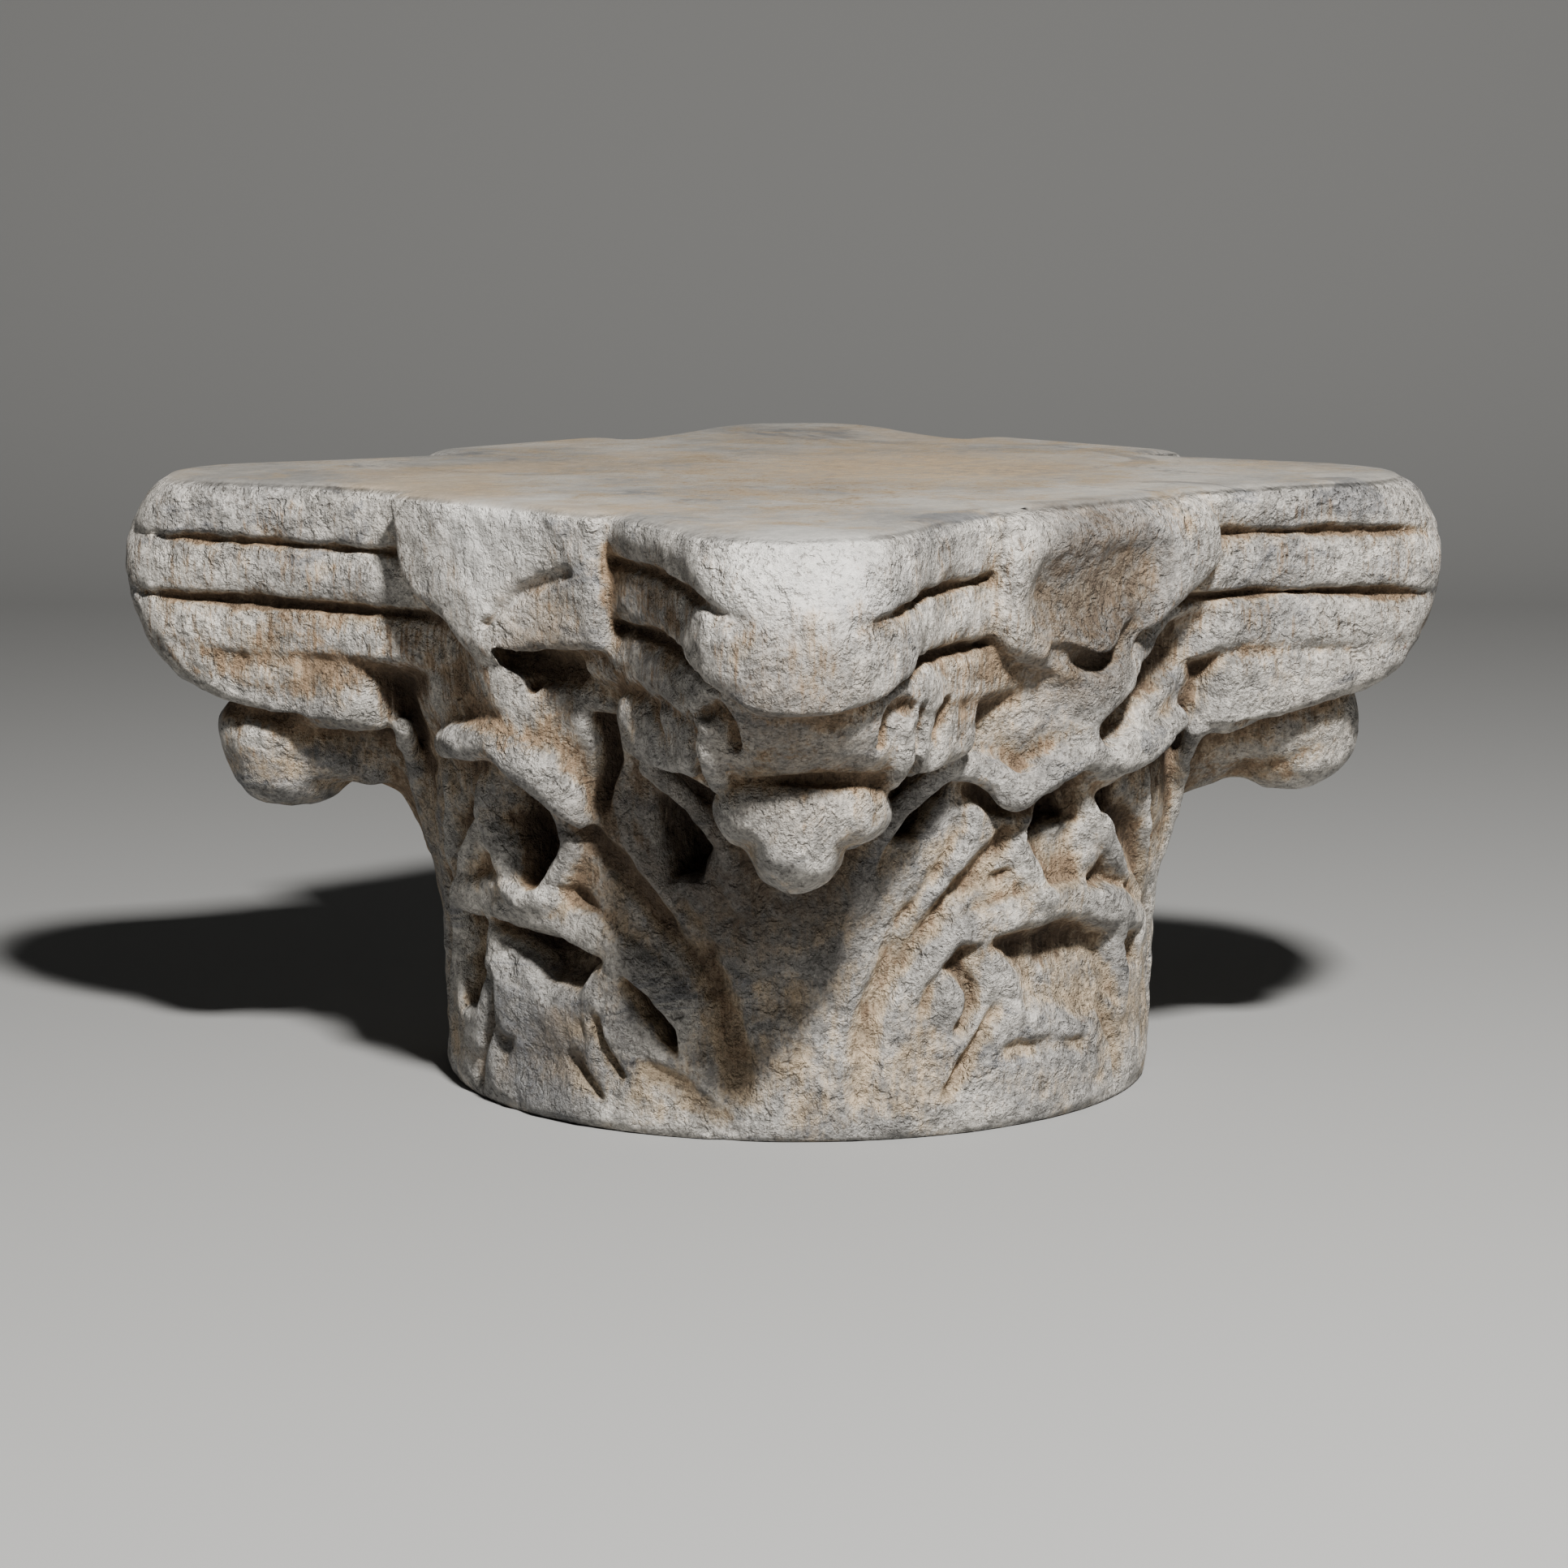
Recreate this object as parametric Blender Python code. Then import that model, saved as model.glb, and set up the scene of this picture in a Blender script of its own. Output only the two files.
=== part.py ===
"""Marble capital: one block of stone, carved all round, with four horns on an acanthus bell.

Metres, +Z up.  The origin is on the underside, on the axis of the bell.  The flat sides of the
abacus face X and Y, and the horns stand on the diagonals.  The stone is worked out as a distance
field: first the turned bell and the abacus, then the horns and their leaves are added, and the
grooves and drill holes are cut.  The surface of that field becomes the mesh.
"""
import math

import bpy
import numpy as np

# Overall sizes
HEIGHT = 0.277
SHAFT_RADIUS = 0.1645
HORN_REACH = 0.307
WORN_HORN_REACH = 0.293
HORN_WIDTH = 0.082
SIDE_REACH = 0.184
LEAF_HEIGHT = 0.176
LIP_FLARE = 0.009
STEM_FLARE = 0.013
FOOT_WEAR = 0.0075

# The abacus, with the stems that run below it to the horns
ABACUS_DEPTH = 0.052
STEM_DEPTH = 0.023
STEM_INSET = 0.0020
STEM_REST = 0.055
STEM_FADE = 0.030
FIRST_GROOVE = 0.0245
GROOVE_WIDTH = 0.006
GROOVE_DEPTH = 0.0032
BAND_WIDTH = 0.024
BAND_ROUNDING = 0.0032
FASCIA_STEP = 0.002
EDGE_WEAR = 0.010
HORN_DROOPS = {"near": 0.40, "right": 0.10, "far": 0.30, "left": 0.0}
DROOP_START = 0.227
DROOP_END = 0.301
BAND_SLANT = 0.0038

# The blunt ends of the horns
NOSE_MIDDLE = 0.042
NOSE_WEAR = 0.025
NOSE_FALL = 0.066
NOSE_CURVE = 0.070
NOSE_ROUNDING = 0.026
UNDERCUT = 0.011
NOSE_VALLEY = 0.098
NOSE_VALLEY_RISE = 0.0042
NOSE_VALLEY_UPS = (0.965, 0.93, 0.87)
NOSE_VALLEY_RADII = (0.004, 0.0065, 0.004)

# The bosses in the middle of the four sides
BOSS_WIDTHS = {"front": 0.131, "right": 0.142, "back": 0.130, "left": 0.120}
BOSS_SHIFTS = {"front": 0.0135, "right": -0.004, "back": 0.012, "left": -0.012}
BOSS_REACHES = {"front": 0.201, "right": 0.202, "back": 0.218, "left": 0.216}
BOSS_DEPTH = 0.070
BOSS_THICKNESS = 0.090
BOSS_ROUNDINGS = {"front": 0.006, "right": 0.010, "back": 0.010, "left": 0.010}
BOSS_WEAR = {"front": 0.008, "right": 0.026, "back": 0.012, "left": 0.012}
BOSS_LEAN = 4.0

# The masses and hanging leaves below the horns
FLANK_INSET = 0.0065
FLANK_FEET = {"near": (0.170, 0.156), "right": (0.163, 0.178), "far": (0.168, 0.160),
              "left": (0.164, 0.160)}
FINGER_GAPS = {"near": 0.0062, "right": 0.0030, "far": 0.0045, "left": 0.0015}
LIP_LIFTS = {"near": 0.003, "right": 0.008, "far": 0.003, "left": 0.0}
FLANK_STARTS = {"near": 0.074, "right": 0.080, "far": 0.082, "left": 0.086}

# Cuts, how soon they fade towards their ends, and the spacing that the relief is worked out at
CHANNEL = 0.0040
DRILL_DEPTH = 0.020
CUT_DEPTH = 0.006
STROKE_FADE = 0.16
RELIEF_STEP = 0.0015

# The surface that is read from the field
GRID = 0.0040
TRIANGLES = 9200
JOIN = 0.008

# Places up the bell are shares of the height of its leaves, and places round it are shares of
# half a face, from -1 at the left corner of the bell to +1 at the right corner.  Places on a horn
# are shares of its reach and of the height of the stone.
HALF_FACE = math.pi / 4
FACES = {"front": -90.0, "right": 0.0, "back": 90.0, "left": 180.0}
HORNS = {"near": -45.0, "right": 45.0, "far": 135.0, "left": -135.0}


# The faces of the bosses: shares of half their width to the right and of their depth down
PLAIN_BOSS = ((-1.0, -0.3), (1.0, -0.3), (1.0, 0.70), (0.60, 1.0), (-0.60, 1.0), (-1.0, 0.70))
BOSS_CORNERS = {"front": ((-1.0, -0.3), (1.0, -0.3), (1.0, 0.86), (-0.30, 0.92), (-0.84, 0.68),
                          (-1.0, 0.44)),
                "right": ((-1.0, -0.3), (1.0, -0.3), (1.0, 0.50), (0.25, 0.90), (-0.55, 1.02),
                          (-1.0, 0.84)),
                "back": PLAIN_BOSS, "left": PLAIN_BOSS}
BOSS_STEM_TOP = (-0.10, 0.90, 0.030)
BOSS_STEM_FOOT = (0.08, 0.97, -0.012)
BOSS_STEM_RADII = (0.030, 0.022)
CRACK = ((-0.08, 0.76, 0.0), (0.14, 0.60, 0.0), (0.36, 0.50, 0.0), (0.74, 0.38, 0.0))
BOSS_HOLLOWS = ((((-0.55, 0.57, -0.022), (0.20, 0.52, -0.022)), (0.0300, 0.0300)),
                (((-0.51, 0.90, 0.001), (-0.11, 0.99, 0.003), (0.24, 0.80, 0.001)), (0.0055, 0.0065)),
                (((0.14, 1.40, 0.008), (0.52, 1.23, 0.012), (0.84, 1.03, 0.012)), (0.0100, 0.0150)),
                (((0.84, 1.03, 0.012), (1.06, 0.80, 0.008)), (0.0150, 0.0080)))
DARK_GAP = ((0.02, 0.88, 0.008), (0.26, 1.00, 0.012), (0.52, 1.02, 0.012))

# The parts of a horn: shares of its reach to the side and out, and of the height
CORNER_LIP = ((-0.050, 0.640, 0.520, 0.0110), (-0.068, 0.715, 0.547, 0.0130),
              (-0.056, 0.800, 0.570, 0.0148),
              (0.010, 0.826, 0.573, 0.0150), (0.070, 0.800, 0.570, 0.0148), (0.078, 0.715, 0.547, 0.0130),
              (0.058, 0.640, 0.520, 0.0110))
HORN_CORE = ((0.0, 0.49, 0.578), (0.0, 0.73, 0.620))
HORN_CORE_RADII = (0.040, 0.030)
TONGUE = (-0.002, 0.762, 0.532)
TONGUE_THICKNESS = 0.032
TONGUE_DROP = 0.0255
TONGUE_WIDTHS = {"near": 0.021, "right": 0.028, "far": 0.024, "left": 0.035}
CREASES = {"near": 0.0026, "right": 0.0034, "far": 0.0026}
LIP_CREASE = ((-0.085, 0.838, 0.622), (0.010, 0.850, 0.624), (0.105, 0.838, 0.622))
FINGER_SPREAD = 0.115
FINGER_GAP = ((0.356, 0.708), (0.370, 0.672), (0.366, 0.625))

# The scrolls beside the near and far noses, from their middle: shares of the reach and of the height
SCROLLED = ("near", "far")
SCROLL_SHIFT = 0.012
SCROLL_RIM = ((0.128, 0.716), (0.130, 0.690), (0.125, 0.660), (0.110, 0.625))
SCROLL_CHANNEL = ((0.155, 0.722), (0.152, 0.685), (0.142, 0.640), (0.120, 0.595))
SCROLL_EYE = ((0.145, 0.728), (0.122, 0.742), (0.103, 0.722), (0.095, 0.685))

# The rim of a corner leaf, from the bell up to its horn: across, up and metres proud of the bell
CORNER_RIM = ((0.81, 0.60, -0.002), (0.77, 0.75, 0.002), (0.69, 0.845, 0.006), (0.63, 0.90, 0.010),
              (0.57, 0.95, 0.011))
RIM_RADIUS = 0.0050

# The curled tops of the leaves: across, up, metres proud of the bell and radius
LIPS = {"front": ((-0.34, 0.93, 0.003, 0.006), (-0.16, 0.955, 0.007, 0.0080), (0.02, 0.965, 0.009, 0.0095),
                  (0.17, 0.92, 0.010, 0.0110), (0.25, 0.86, 0.008, 0.0095), (0.29, 0.80, 0.004, 0.006)),
        "right": ((-0.52, 0.95, 0.004, 0.0070), (-0.41, 0.92, 0.006, 0.0070), (-0.31, 0.87, 0.007, 0.0080),
                  (-0.22, 0.905, 0.007, 0.0075), (-0.09, 0.945, 0.007, 0.0075),
                  (0.06, 0.925, 0.007, 0.0075),
                  (0.22, 0.93, 0.007, 0.0070), (0.45, 0.98, 0.005, 0.0060)),
        "plain": ((-0.36, 0.91, 0.004, 0.006), (-0.18, 0.95, 0.010, 0.009), (0.0, 0.97, 0.012, 0.0095),
                  (0.18, 0.95, 0.010, 0.009), (0.36, 0.91, 0.004, 0.006))}


def smooth_step(low, high, value):
    """Rises from 0 to 1 while value goes from low to high."""
    share = np.clip((value - low) / (high - low), 0.0, 1.0)
    return share * share * (3.0 - 2.0 * share)


def smooth_min(one, other, blend):
    """The lesser of two distances, rounded where they meet."""
    share = np.clip(0.5 + 0.5 * (other - one) / blend, 0.0, 1.0)
    return other + (one - other) * share - blend * share * (1.0 - share)


def smooth_max(one, other, blend):
    """The greater of two distances, rounded where they meet."""
    return -smooth_min(-one, -other, blend)


class Stone:
    """Distances to the surface of the stone on an even grid, negative inside."""

    def __init__(self, reach, height, step):
        across = int(math.ceil(reach / step)) + 3
        self.step = step
        self.x = np.arange(-across, across + 1) * step
        self.y = self.x.copy()
        self.z = np.arange(-3, int(math.ceil(height / step)) + 4) * step + 0.37 * step
        self.field = np.full((len(self.x), len(self.y), len(self.z)), reach, np.float32)

    def window(self, low, high):
        """The part of the grid between two corners, as slices and as coordinates."""
        cuts = []
        for axis, start, end in zip((self.x, self.y, self.z), low, high):
            first = int(np.searchsorted(axis, start))
            last = int(np.searchsorted(axis, end, side="right"))
            cuts.append(slice(max(first - 1, 0), min(last + 1, len(axis))))
        x = self.x[cuts[0]][:, None, None]
        y = self.y[cuts[1]][None, :, None]
        z = self.z[cuts[2]][None, None, :]
        return tuple(cuts), x, y, z

    def add(self, shape, blend=JOIN):
        cuts, x, y, z = self.window(*shape.box(blend + 2.0 * self.step))
        self.field[cuts] = smooth_min(self.field[cuts], shape.distance(x, y, z), blend)

    def cut(self, shape, blend=0.004):
        cuts, x, y, z = self.window(*shape.box(blend + 2.0 * self.step))
        self.field[cuts] = smooth_max(self.field[cuts], -shape.distance(x, y, z), blend)


class Limb:
    """A round bar that follows points and tapers from radius to radius."""

    def __init__(self, points, radii):
        self.points = np.array(points, float)
        self.radii = np.array(radii, float)

    def box(self, margin):
        spread = self.radii.max() + margin
        return self.points.min(axis=0) - spread, self.points.max(axis=0) + spread

    def distance(self, x, y, z):
        nearest = None
        for start, end, first, last in zip(self.points, self.points[1:], self.radii, self.radii[1:]):
            along = end - start
            share = (x - start[0]) * along[0] + (y - start[1]) * along[1] + (z - start[2]) * along[2]
            share = np.clip(share / max(float(along @ along), 1e-12), 0.0, 1.0)
            gap = (x - start[0] - share * along[0]) ** 2
            gap = gap + (y - start[1] - share * along[1]) ** 2
            gap = gap + (z - start[2] - share * along[2]) ** 2
            gap = np.sqrt(gap) - (first + (last - first) * share)
            nearest = gap if nearest is None else np.minimum(nearest, gap)
        return nearest.astype(np.float32)


class Lump:
    """An ellipsoid with three half sizes along three axes at right angles."""

    def __init__(self, centre, axes, sizes):
        self.centre = np.array(centre, float)
        self.axes = np.array(axes, float)
        self.sizes = np.array(sizes, float)

    def box(self, margin):
        spread = np.sqrt(((self.axes * self.sizes[:, None]) ** 2).sum(axis=0)) + margin
        return self.centre - spread, self.centre + spread

    def distance(self, x, y, z):
        near = 0.0
        far = 0.0
        for axis, size in zip(self.axes, self.sizes):
            part = (x - self.centre[0]) * axis[0] + (y - self.centre[1]) * axis[1]
            part = part + (z - self.centre[2]) * axis[2]
            near = near + (part / size) ** 2
            far = far + (part / size ** 2) ** 2
        near = np.sqrt(near)
        far = np.sqrt(far)
        return (near * (near - 1.0) / np.maximum(far, 1e-6)).astype(np.float32)


def smooth_curve(points, steps=6):
    """A smooth curve through points, with a number of steps between each two."""
    points = np.array(points, float)
    if len(points) == 2:
        return points
    padded = np.vstack((2.0 * points[0] - points[1], points, 2.0 * points[-1] - points[-2]))
    curve = []
    for before, start, end, after in zip(padded, padded[1:], padded[2:], padded[3:]):
        for share in np.arange(steps) / steps:
            bend = 3.0 * (start - end) + after - before
            slope = 2.0 * before - 5.0 * start + 4.0 * end - after
            curve.append(start + 0.5 * share * (end - before + share * (slope + share * bend)))
    curve.append(points[-1])
    return np.array(curve)


class Relief:
    """Heights on the unrolled bell: how far each place stands out from the turned surface."""

    def __init__(self, spacing):
        count = int(round(2.0 * math.pi * SHAFT_RADIUS / spacing))
        self.turns = (np.arange(count) + 0.5) * 2.0 * math.pi / count - math.pi
        self.ups = np.arange(0.0, HEIGHT + 2.0 * spacing, spacing)
        self.height = np.zeros((count, len(self.ups)), np.float32)

    def place(self, face):
        """Metres across and up from the middle of the foot of a face, wrapped round the back."""
        turn = self.turns - math.radians(FACES[face])
        turn = (turn + math.pi) % (2.0 * math.pi) - math.pi
        return (turn * SHAFT_RADIUS)[:, None], self.ups[None, :]

    def stroke_share(self, face, path, widths):
        """1 along the middle of a curved stroke, falling to 0 at its edges and its ends."""
        across, up = self.place(face)
        points = smooth_curve([on_leaf(place) for place in path])
        widths = np.linspace(widths[0], widths[1], len(points)) * LEAF_HEIGHT
        best = np.zeros_like(self.height)
        for number, ((a, b), (c, d)) in enumerate(zip(points, points[1:])):
            run = (c - a) ** 2 + (d - b) ** 2
            share = np.clip(((across - a) * (c - a) + (up - b) * (d - b)) / run, 0.0, 1.0)
            gap = np.hypot(across - a - share * (c - a), up - b - share * (d - b))
            part = gap / (0.5 * (widths[number] + (widths[number + 1] - widths[number]) * share))
            along = (number + share) / (len(points) - 1)
            fade = smooth_step(-0.02, STROKE_FADE, np.minimum(along, 1.0 - along))
            best = np.maximum(best, fade * (1.0 - np.minimum(part, 1.0) ** 2))
        return best

    def groove(self, face, path, widths, depth):
        share = self.stroke_share(face, path, widths)
        self.height = self.height - depth * share

    def ridge(self, face, path, widths, rise):
        share = self.stroke_share(face, path, widths)
        self.height = self.height + rise * np.sqrt(share)

    def hollow(self, face, corners, depth, wall=0.036, foot=1.0):
        """A hollow with the given corners, whose depth changes to a share of it at its foot."""
        across, up = self.place(face)
        points = np.array([on_leaf(place) for place in corners])
        inside = np.zeros(np.broadcast(across, up).shape, bool)
        nearest = np.full(inside.shape, HEIGHT)
        for (a, b), (c, d) in zip(points, np.roll(points, -1, axis=0)):
            run = (c - a) ** 2 + (d - b) ** 2
            share = np.clip(((across - a) * (c - a) + (up - b) * (d - b)) / run, 0.0, 1.0)
            nearest = np.minimum(nearest, np.hypot(across - a - share * (c - a), up - b - share * (d - b)))
            beside = a + (up - b) * (c - a) / (d - b if d != b else 1e-9)
            inside ^= ((b > up) != (d > up)) & (across < beside)
        gap = np.where(inside, nearest, -nearest)
        share = smooth_step(-0.25 * wall * LEAF_HEIGHT, wall * LEAF_HEIGHT, gap)
        rise = np.clip((up - points[:, 1].min()) / np.ptp(points[:, 1]), 0.0, 1.0)
        self.height = self.height - depth * share * (foot + (1.0 - foot) * rise)

    def swell(self, face, centre, sizes, rise):
        """A soft swelling, highest in the middle."""
        across, up = self.place(face)
        middle = on_leaf(centre)
        spread = ((across - middle[0]) / (sizes[0] * LEAF_HEIGHT)) ** 2
        spread = spread + ((up - middle[1]) / (sizes[1] * LEAF_HEIGHT)) ** 2
        self.height = self.height + rise * (1.0 - np.minimum(spread, 1.0)) ** 2

    def radius(self, x, y, z):
        """The radius of the carved bell towards each place, read between the nearest heights."""
        count = len(self.turns)
        turn = (np.arctan2(y, x) + math.pi) / (2.0 * math.pi) * count - 0.5
        low = np.floor(turn).astype(int)
        part = (turn - low)[:, :, 0]
        low = low[:, :, 0]
        spacing = self.ups[1]
        up = np.clip(z[0, 0] / spacing, 0.0, len(self.ups) - 1.001)
        rows = np.floor(up).astype(int)
        rest = up - rows
        column = self.height[:, rows] * (1.0 - rest) + self.height[:, rows + 1] * rest
        heights = column[low % count] * (1.0 - part)[:, :, None]
        heights = heights + column[(low + 1) % count] * part[:, :, None]
        return bell_radius(z) + heights


def on_leaf(place):
    """Metres across and up the bell, from shares of half a face and of the leaves' height."""
    return np.array((place[0] * HALF_FACE * SHAFT_RADIUS, place[1] * LEAF_HEIGHT))


def bell_radius(up):
    """The turned bell: straight below, flaring out under the lips and again under the stems."""
    flare = LIP_FLARE * smooth_step(0.40 * LEAF_HEIGHT, 0.85 * LEAF_HEIGHT, up)
    flare = flare + STEM_FLARE * smooth_step(0.86 * LEAF_HEIGHT, 1.10 * LEAF_HEIGHT, up)
    foot = FOOT_WEAR * (1.0 - smooth_step(-0.06 * LEAF_HEIGHT, 0.05 * LEAF_HEIGHT, up))
    return SHAFT_RADIUS + flare - foot


class Bell:
    """The carved bell, from below the foot to above the top."""

    def __init__(self, relief):
        self.relief = relief

    def box(self, margin):
        spread = SHAFT_RADIUS * 1.25 + margin
        return (-spread, -spread, -margin), (spread, spread, HEIGHT + margin)

    def distance(self, x, y, z):
        return (np.hypot(x, y) - self.relief.radius(x, y, z)).astype(np.float32)


def turned(angle):
    """The way out and the way to the right, seen from outside, at an angle in degrees."""
    turn = math.radians(angle)
    out = np.array((math.cos(turn), math.sin(turn), 0.0))
    right = np.array((-math.sin(turn), math.cos(turn), 0.0))
    return out, right


def horn_reach(horn):
    return WORN_HORN_REACH if horn == "right" else HORN_REACH


class Abacus:
    """The concave-sided slab, its grooved edge and the stems that run below it to the horns."""

    def box(self, margin):
        spread = HORN_REACH + margin
        foot = HEIGHT - 2.0 * (ABACUS_DEPTH + STEM_DEPTH)
        return (-spread, -spread, foot), (spread, spread, HEIGHT + margin)

    def distance(self, x, y, z):
        deeper = droop(x, y)
        level = (HEIGHT - z) / deeper
        down = level + BAND_SLANT * np.sin(4.0 * np.arctan2(y, x))
        inset = groove_inset(down - FIRST_GROOVE) + groove_inset(down - ABACUS_DEPTH) * 1.3
        inset = inset + FASCIA_STEP * smooth_step(FIRST_GROOVE - 0.002, FIRST_GROOVE + 0.002, down)
        inset = inset + STEM_INSET * smooth_step(ABACUS_DEPTH - 0.003, ABACUS_DEPTH + 0.003, down)
        foot = ABACUS_DEPTH + STEM_DEPTH
        inset = inset + STEM_REST * smooth_step(foot - 0.004, foot + STEM_FADE, down)
        edge = (1.0 - level / EDGE_WEAR).clip(0.0, 1.0)
        inset = inset + EDGE_WEAR * (1.0 - np.sqrt(1.0 - edge ** 2))
        body = sides(x, y) + inset
        body = smooth_max(body, noses(x, y, z, level), NOSE_ROUNDING)
        under = HEIGHT - (foot + STEM_FADE) * deeper - z
        body = smooth_max(body, under, 0.010)
        return np.maximum(body, z - HEIGHT).astype(np.float32)


def droop(x, y):
    """How much deeper the bands of the abacus get towards the tip of each horn."""
    plus = np.where(y > 0.0, HORN_DROOPS["right"], HORN_DROOPS["near"])
    minus = np.where(y > 0.0, HORN_DROOPS["far"], HORN_DROOPS["left"])
    most = np.where(x > 0.0, plus, minus)
    share = np.clip((np.hypot(x, y) - DROOP_START) / (DROOP_END - DROOP_START), 0.0, 1.0)
    return 1.0 + most * share ** 2


def side_sweep():
    """The radius of the arcs that the sides of the abacus follow, seen from above."""
    corner_out = (HORN_REACH - 0.012 + 0.5 * HORN_WIDTH) * math.sqrt(0.5)
    corner_side = (HORN_REACH - 0.012 - 0.5 * HORN_WIDTH) * math.sqrt(0.5)
    sag = corner_out - SIDE_REACH
    return (corner_side ** 2 + sag ** 2) / (2.0 * sag)


def sides(x, y):
    """Distance to the four hollow sides of the abacus, seen from above."""
    sweep = side_sweep()
    edge = None
    for angle in FACES.values():
        out, right = turned(angle)
        off = x * out[0] + y * out[1] - (SIDE_REACH + sweep)
        aside = x * right[0] + y * right[1]
        side = sweep - np.hypot(off, aside)
        edge = side if edge is None else smooth_max(edge, side, 0.002)
    return edge


def nose_wear(z):
    """How far the rounded end of a horn stands back, at each height."""
    middle = HEIGHT - NOSE_MIDDLE
    above = np.clip((z - middle) / NOSE_MIDDLE, 0.0, 1.0)
    below = np.clip((middle - z) / NOSE_FALL, 0.0, 1.0)
    worn = NOSE_WEAR * (1.0 - np.sqrt(1.0 - above ** 2.6))
    return worn + NOSE_FALL * (1.0 - np.sqrt(1.0 - below ** 2.4))


def noses(x, y, z, down):
    """Distance to the blunt ends of the horns, worn round from top to bottom."""
    worn = nose_wear(z)
    edge = None
    for horn, angle in HORNS.items():
        out, right = turned(angle)
        off = x * out[0] + y * out[1]
        aside = x * right[0] + y * right[1]
        end = off - horn_reach(horn) + aside ** 2 / (2.0 * NOSE_CURVE) + worn
        if horn == "near":
            end = end + UNDERCUT * smooth_step(ABACUS_DEPTH - 0.003, ABACUS_DEPTH + 0.005, down)
        end = np.where(off > 0.6 * HORN_REACH, end, -HORN_REACH)
        edge = end if edge is None else np.maximum(edge, end)
    return edge


def groove_inset(down):
    """How far a groove and the rounded bands beside it stand back, at a height from its middle."""
    groove = np.clip(1.0 - (down / (0.5 * GROOVE_WIDTH)) ** 2, 0.0, 1.0)
    rounding = np.clip(1.0 - np.abs(down / (0.5 * BAND_WIDTH)), 0.0, 1.0) ** 2
    return GROOVE_DEPTH * groove + BAND_ROUNDING * rounding


class Flank:
    """The mass below one horn, whose two sides carry the lobes of the corner leaf."""

    def __init__(self, horn):
        self.horn = horn

    def box(self, margin):
        corners = [horn_point(self.horn, side * 0.36, out, up)
                   for side in (-1, 1) for out in (0.32, 1.0) for up in (0.53, 1.0)]
        return np.min(corners, axis=0) - margin, np.max(corners, axis=0) + margin

    def distance(self, x, y, z):
        out, right = turned(HORNS[self.horn])
        off = x * out[0] + y * out[1]
        aside = np.abs(x * right[0] + y * right[1])
        along = (off - aside) * math.sqrt(0.5)
        top = HEIGHT - (ABACUS_DEPTH + STEM_DEPTH - 0.001) * droop(x, y)
        body = sides(x, y) + FLANK_INSET + 0.12 * np.maximum(top - 0.012 - z, 0.0)
        body = smooth_max(body, noses(x, y, z, (HEIGHT - z) / droop(x, y)), 0.016)
        start = FLANK_STARTS[self.horn]
        body = smooth_max(body, start - along, 0.010)
        foot, tip_foot = FLANK_FEET[self.horn]
        foot = foot + (tip_foot - foot) * smooth_step(start + 0.015, start + 0.085, along)
        body = smooth_max(body, foot - z, 0.012)
        return smooth_max(body, z - top, 0.009).astype(np.float32)


class Boss:
    """The block in the middle of one side of the abacus: a slab whose face has given corners."""

    def __init__(self, face):
        self.way, self.right = turned(FACES[face])
        self.middle = BOSS_SHIFTS[face]
        self.half = 0.5 * BOSS_WIDTHS[face]
        self.reach = BOSS_REACHES[face]
        self.wear = BOSS_WEAR[face]
        self.rounding = BOSS_ROUNDINGS[face]
        self.corners = np.array(BOSS_CORNERS[face]) * (self.half, -BOSS_DEPTH) + (self.middle, HEIGHT)

    def box(self, margin):
        places = [self.right * (self.middle + side * self.half) + self.way * (self.reach - thick)
                  + np.array((0.0, 0.0, up)) for side in (-1, 1) for thick in (0.0, BOSS_THICKNESS)
                  for up in (HEIGHT - BOSS_DEPTH, HEIGHT)]
        return np.min(places, axis=0) - margin, np.max(places, axis=0) + margin

    def distance(self, x, y, z):
        across = x * self.right[0] + y * self.right[1]
        off = x * self.way[0] + y * self.way[1]
        lean = math.tan(math.radians(BOSS_LEAN))
        body = np.maximum(off - self.reach + (HEIGHT - z) * lean, self.reach - BOSS_THICKNESS - off)
        for (a, b), (c, d) in zip(self.corners, np.roll(self.corners, -1, axis=0)):
            gap = ((across - a) * (b - d) + (z - b) * (c - a)) / math.hypot(c - a, d - b)
            body = smooth_max(body, gap, self.rounding)
        return smooth_max(body, z - HEIGHT, self.wear).astype(np.float32)


def bell_point(face, across, up, proud):
    """A place on the bell, from shares of half a face and of the leaves' height."""
    turn = math.radians(FACES[face]) + across * HALF_FACE
    reach = float(bell_radius(np.array(up * LEAF_HEIGHT))) + proud
    return np.array((math.cos(turn) * reach, math.sin(turn) * reach, up * LEAF_HEIGHT))


def boss_point(face, across, down, sink):
    """A place on the front of a boss: shares of its half width and of its depth, and how deep."""
    way, right = turned(FACES[face])
    lean = math.tan(math.radians(BOSS_LEAN))
    out = BOSS_REACHES[face] - down * BOSS_DEPTH * lean - sink
    side = BOSS_SHIFTS[face] + across * 0.5 * BOSS_WIDTHS[face]
    return right * side + way * out + np.array((0.0, 0.0, HEIGHT - down * BOSS_DEPTH))


def horn_point(horn, across, out, up):
    """A place on a horn: shares of its reach to the right and out, and of the height."""
    way, right = turned(HORNS[horn])
    worn = (HORN_REACH - horn_reach(horn)) * float(smooth_step(0.49, 1.0, out))
    reach = out * HORN_REACH - worn
    return right * across * HORN_REACH + way * reach + np.array((0.0, 0.0, up * HEIGHT))


def nose_point(horn, across, up, sink):
    """A place on the worn end of a horn, from shares of its reach and of the height."""
    aside = across * HORN_REACH
    undercut = UNDERCUT if horn == "near" else 0.0
    out = horn_reach(horn) - aside ** 2 / (2.0 * NOSE_CURVE) - float(nose_wear(up * HEIGHT)) - undercut
    way, right = turned(HORNS[horn])
    return right * aside + way * (out - sink) + np.array((0.0, 0.0, up * HEIGHT))


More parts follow.
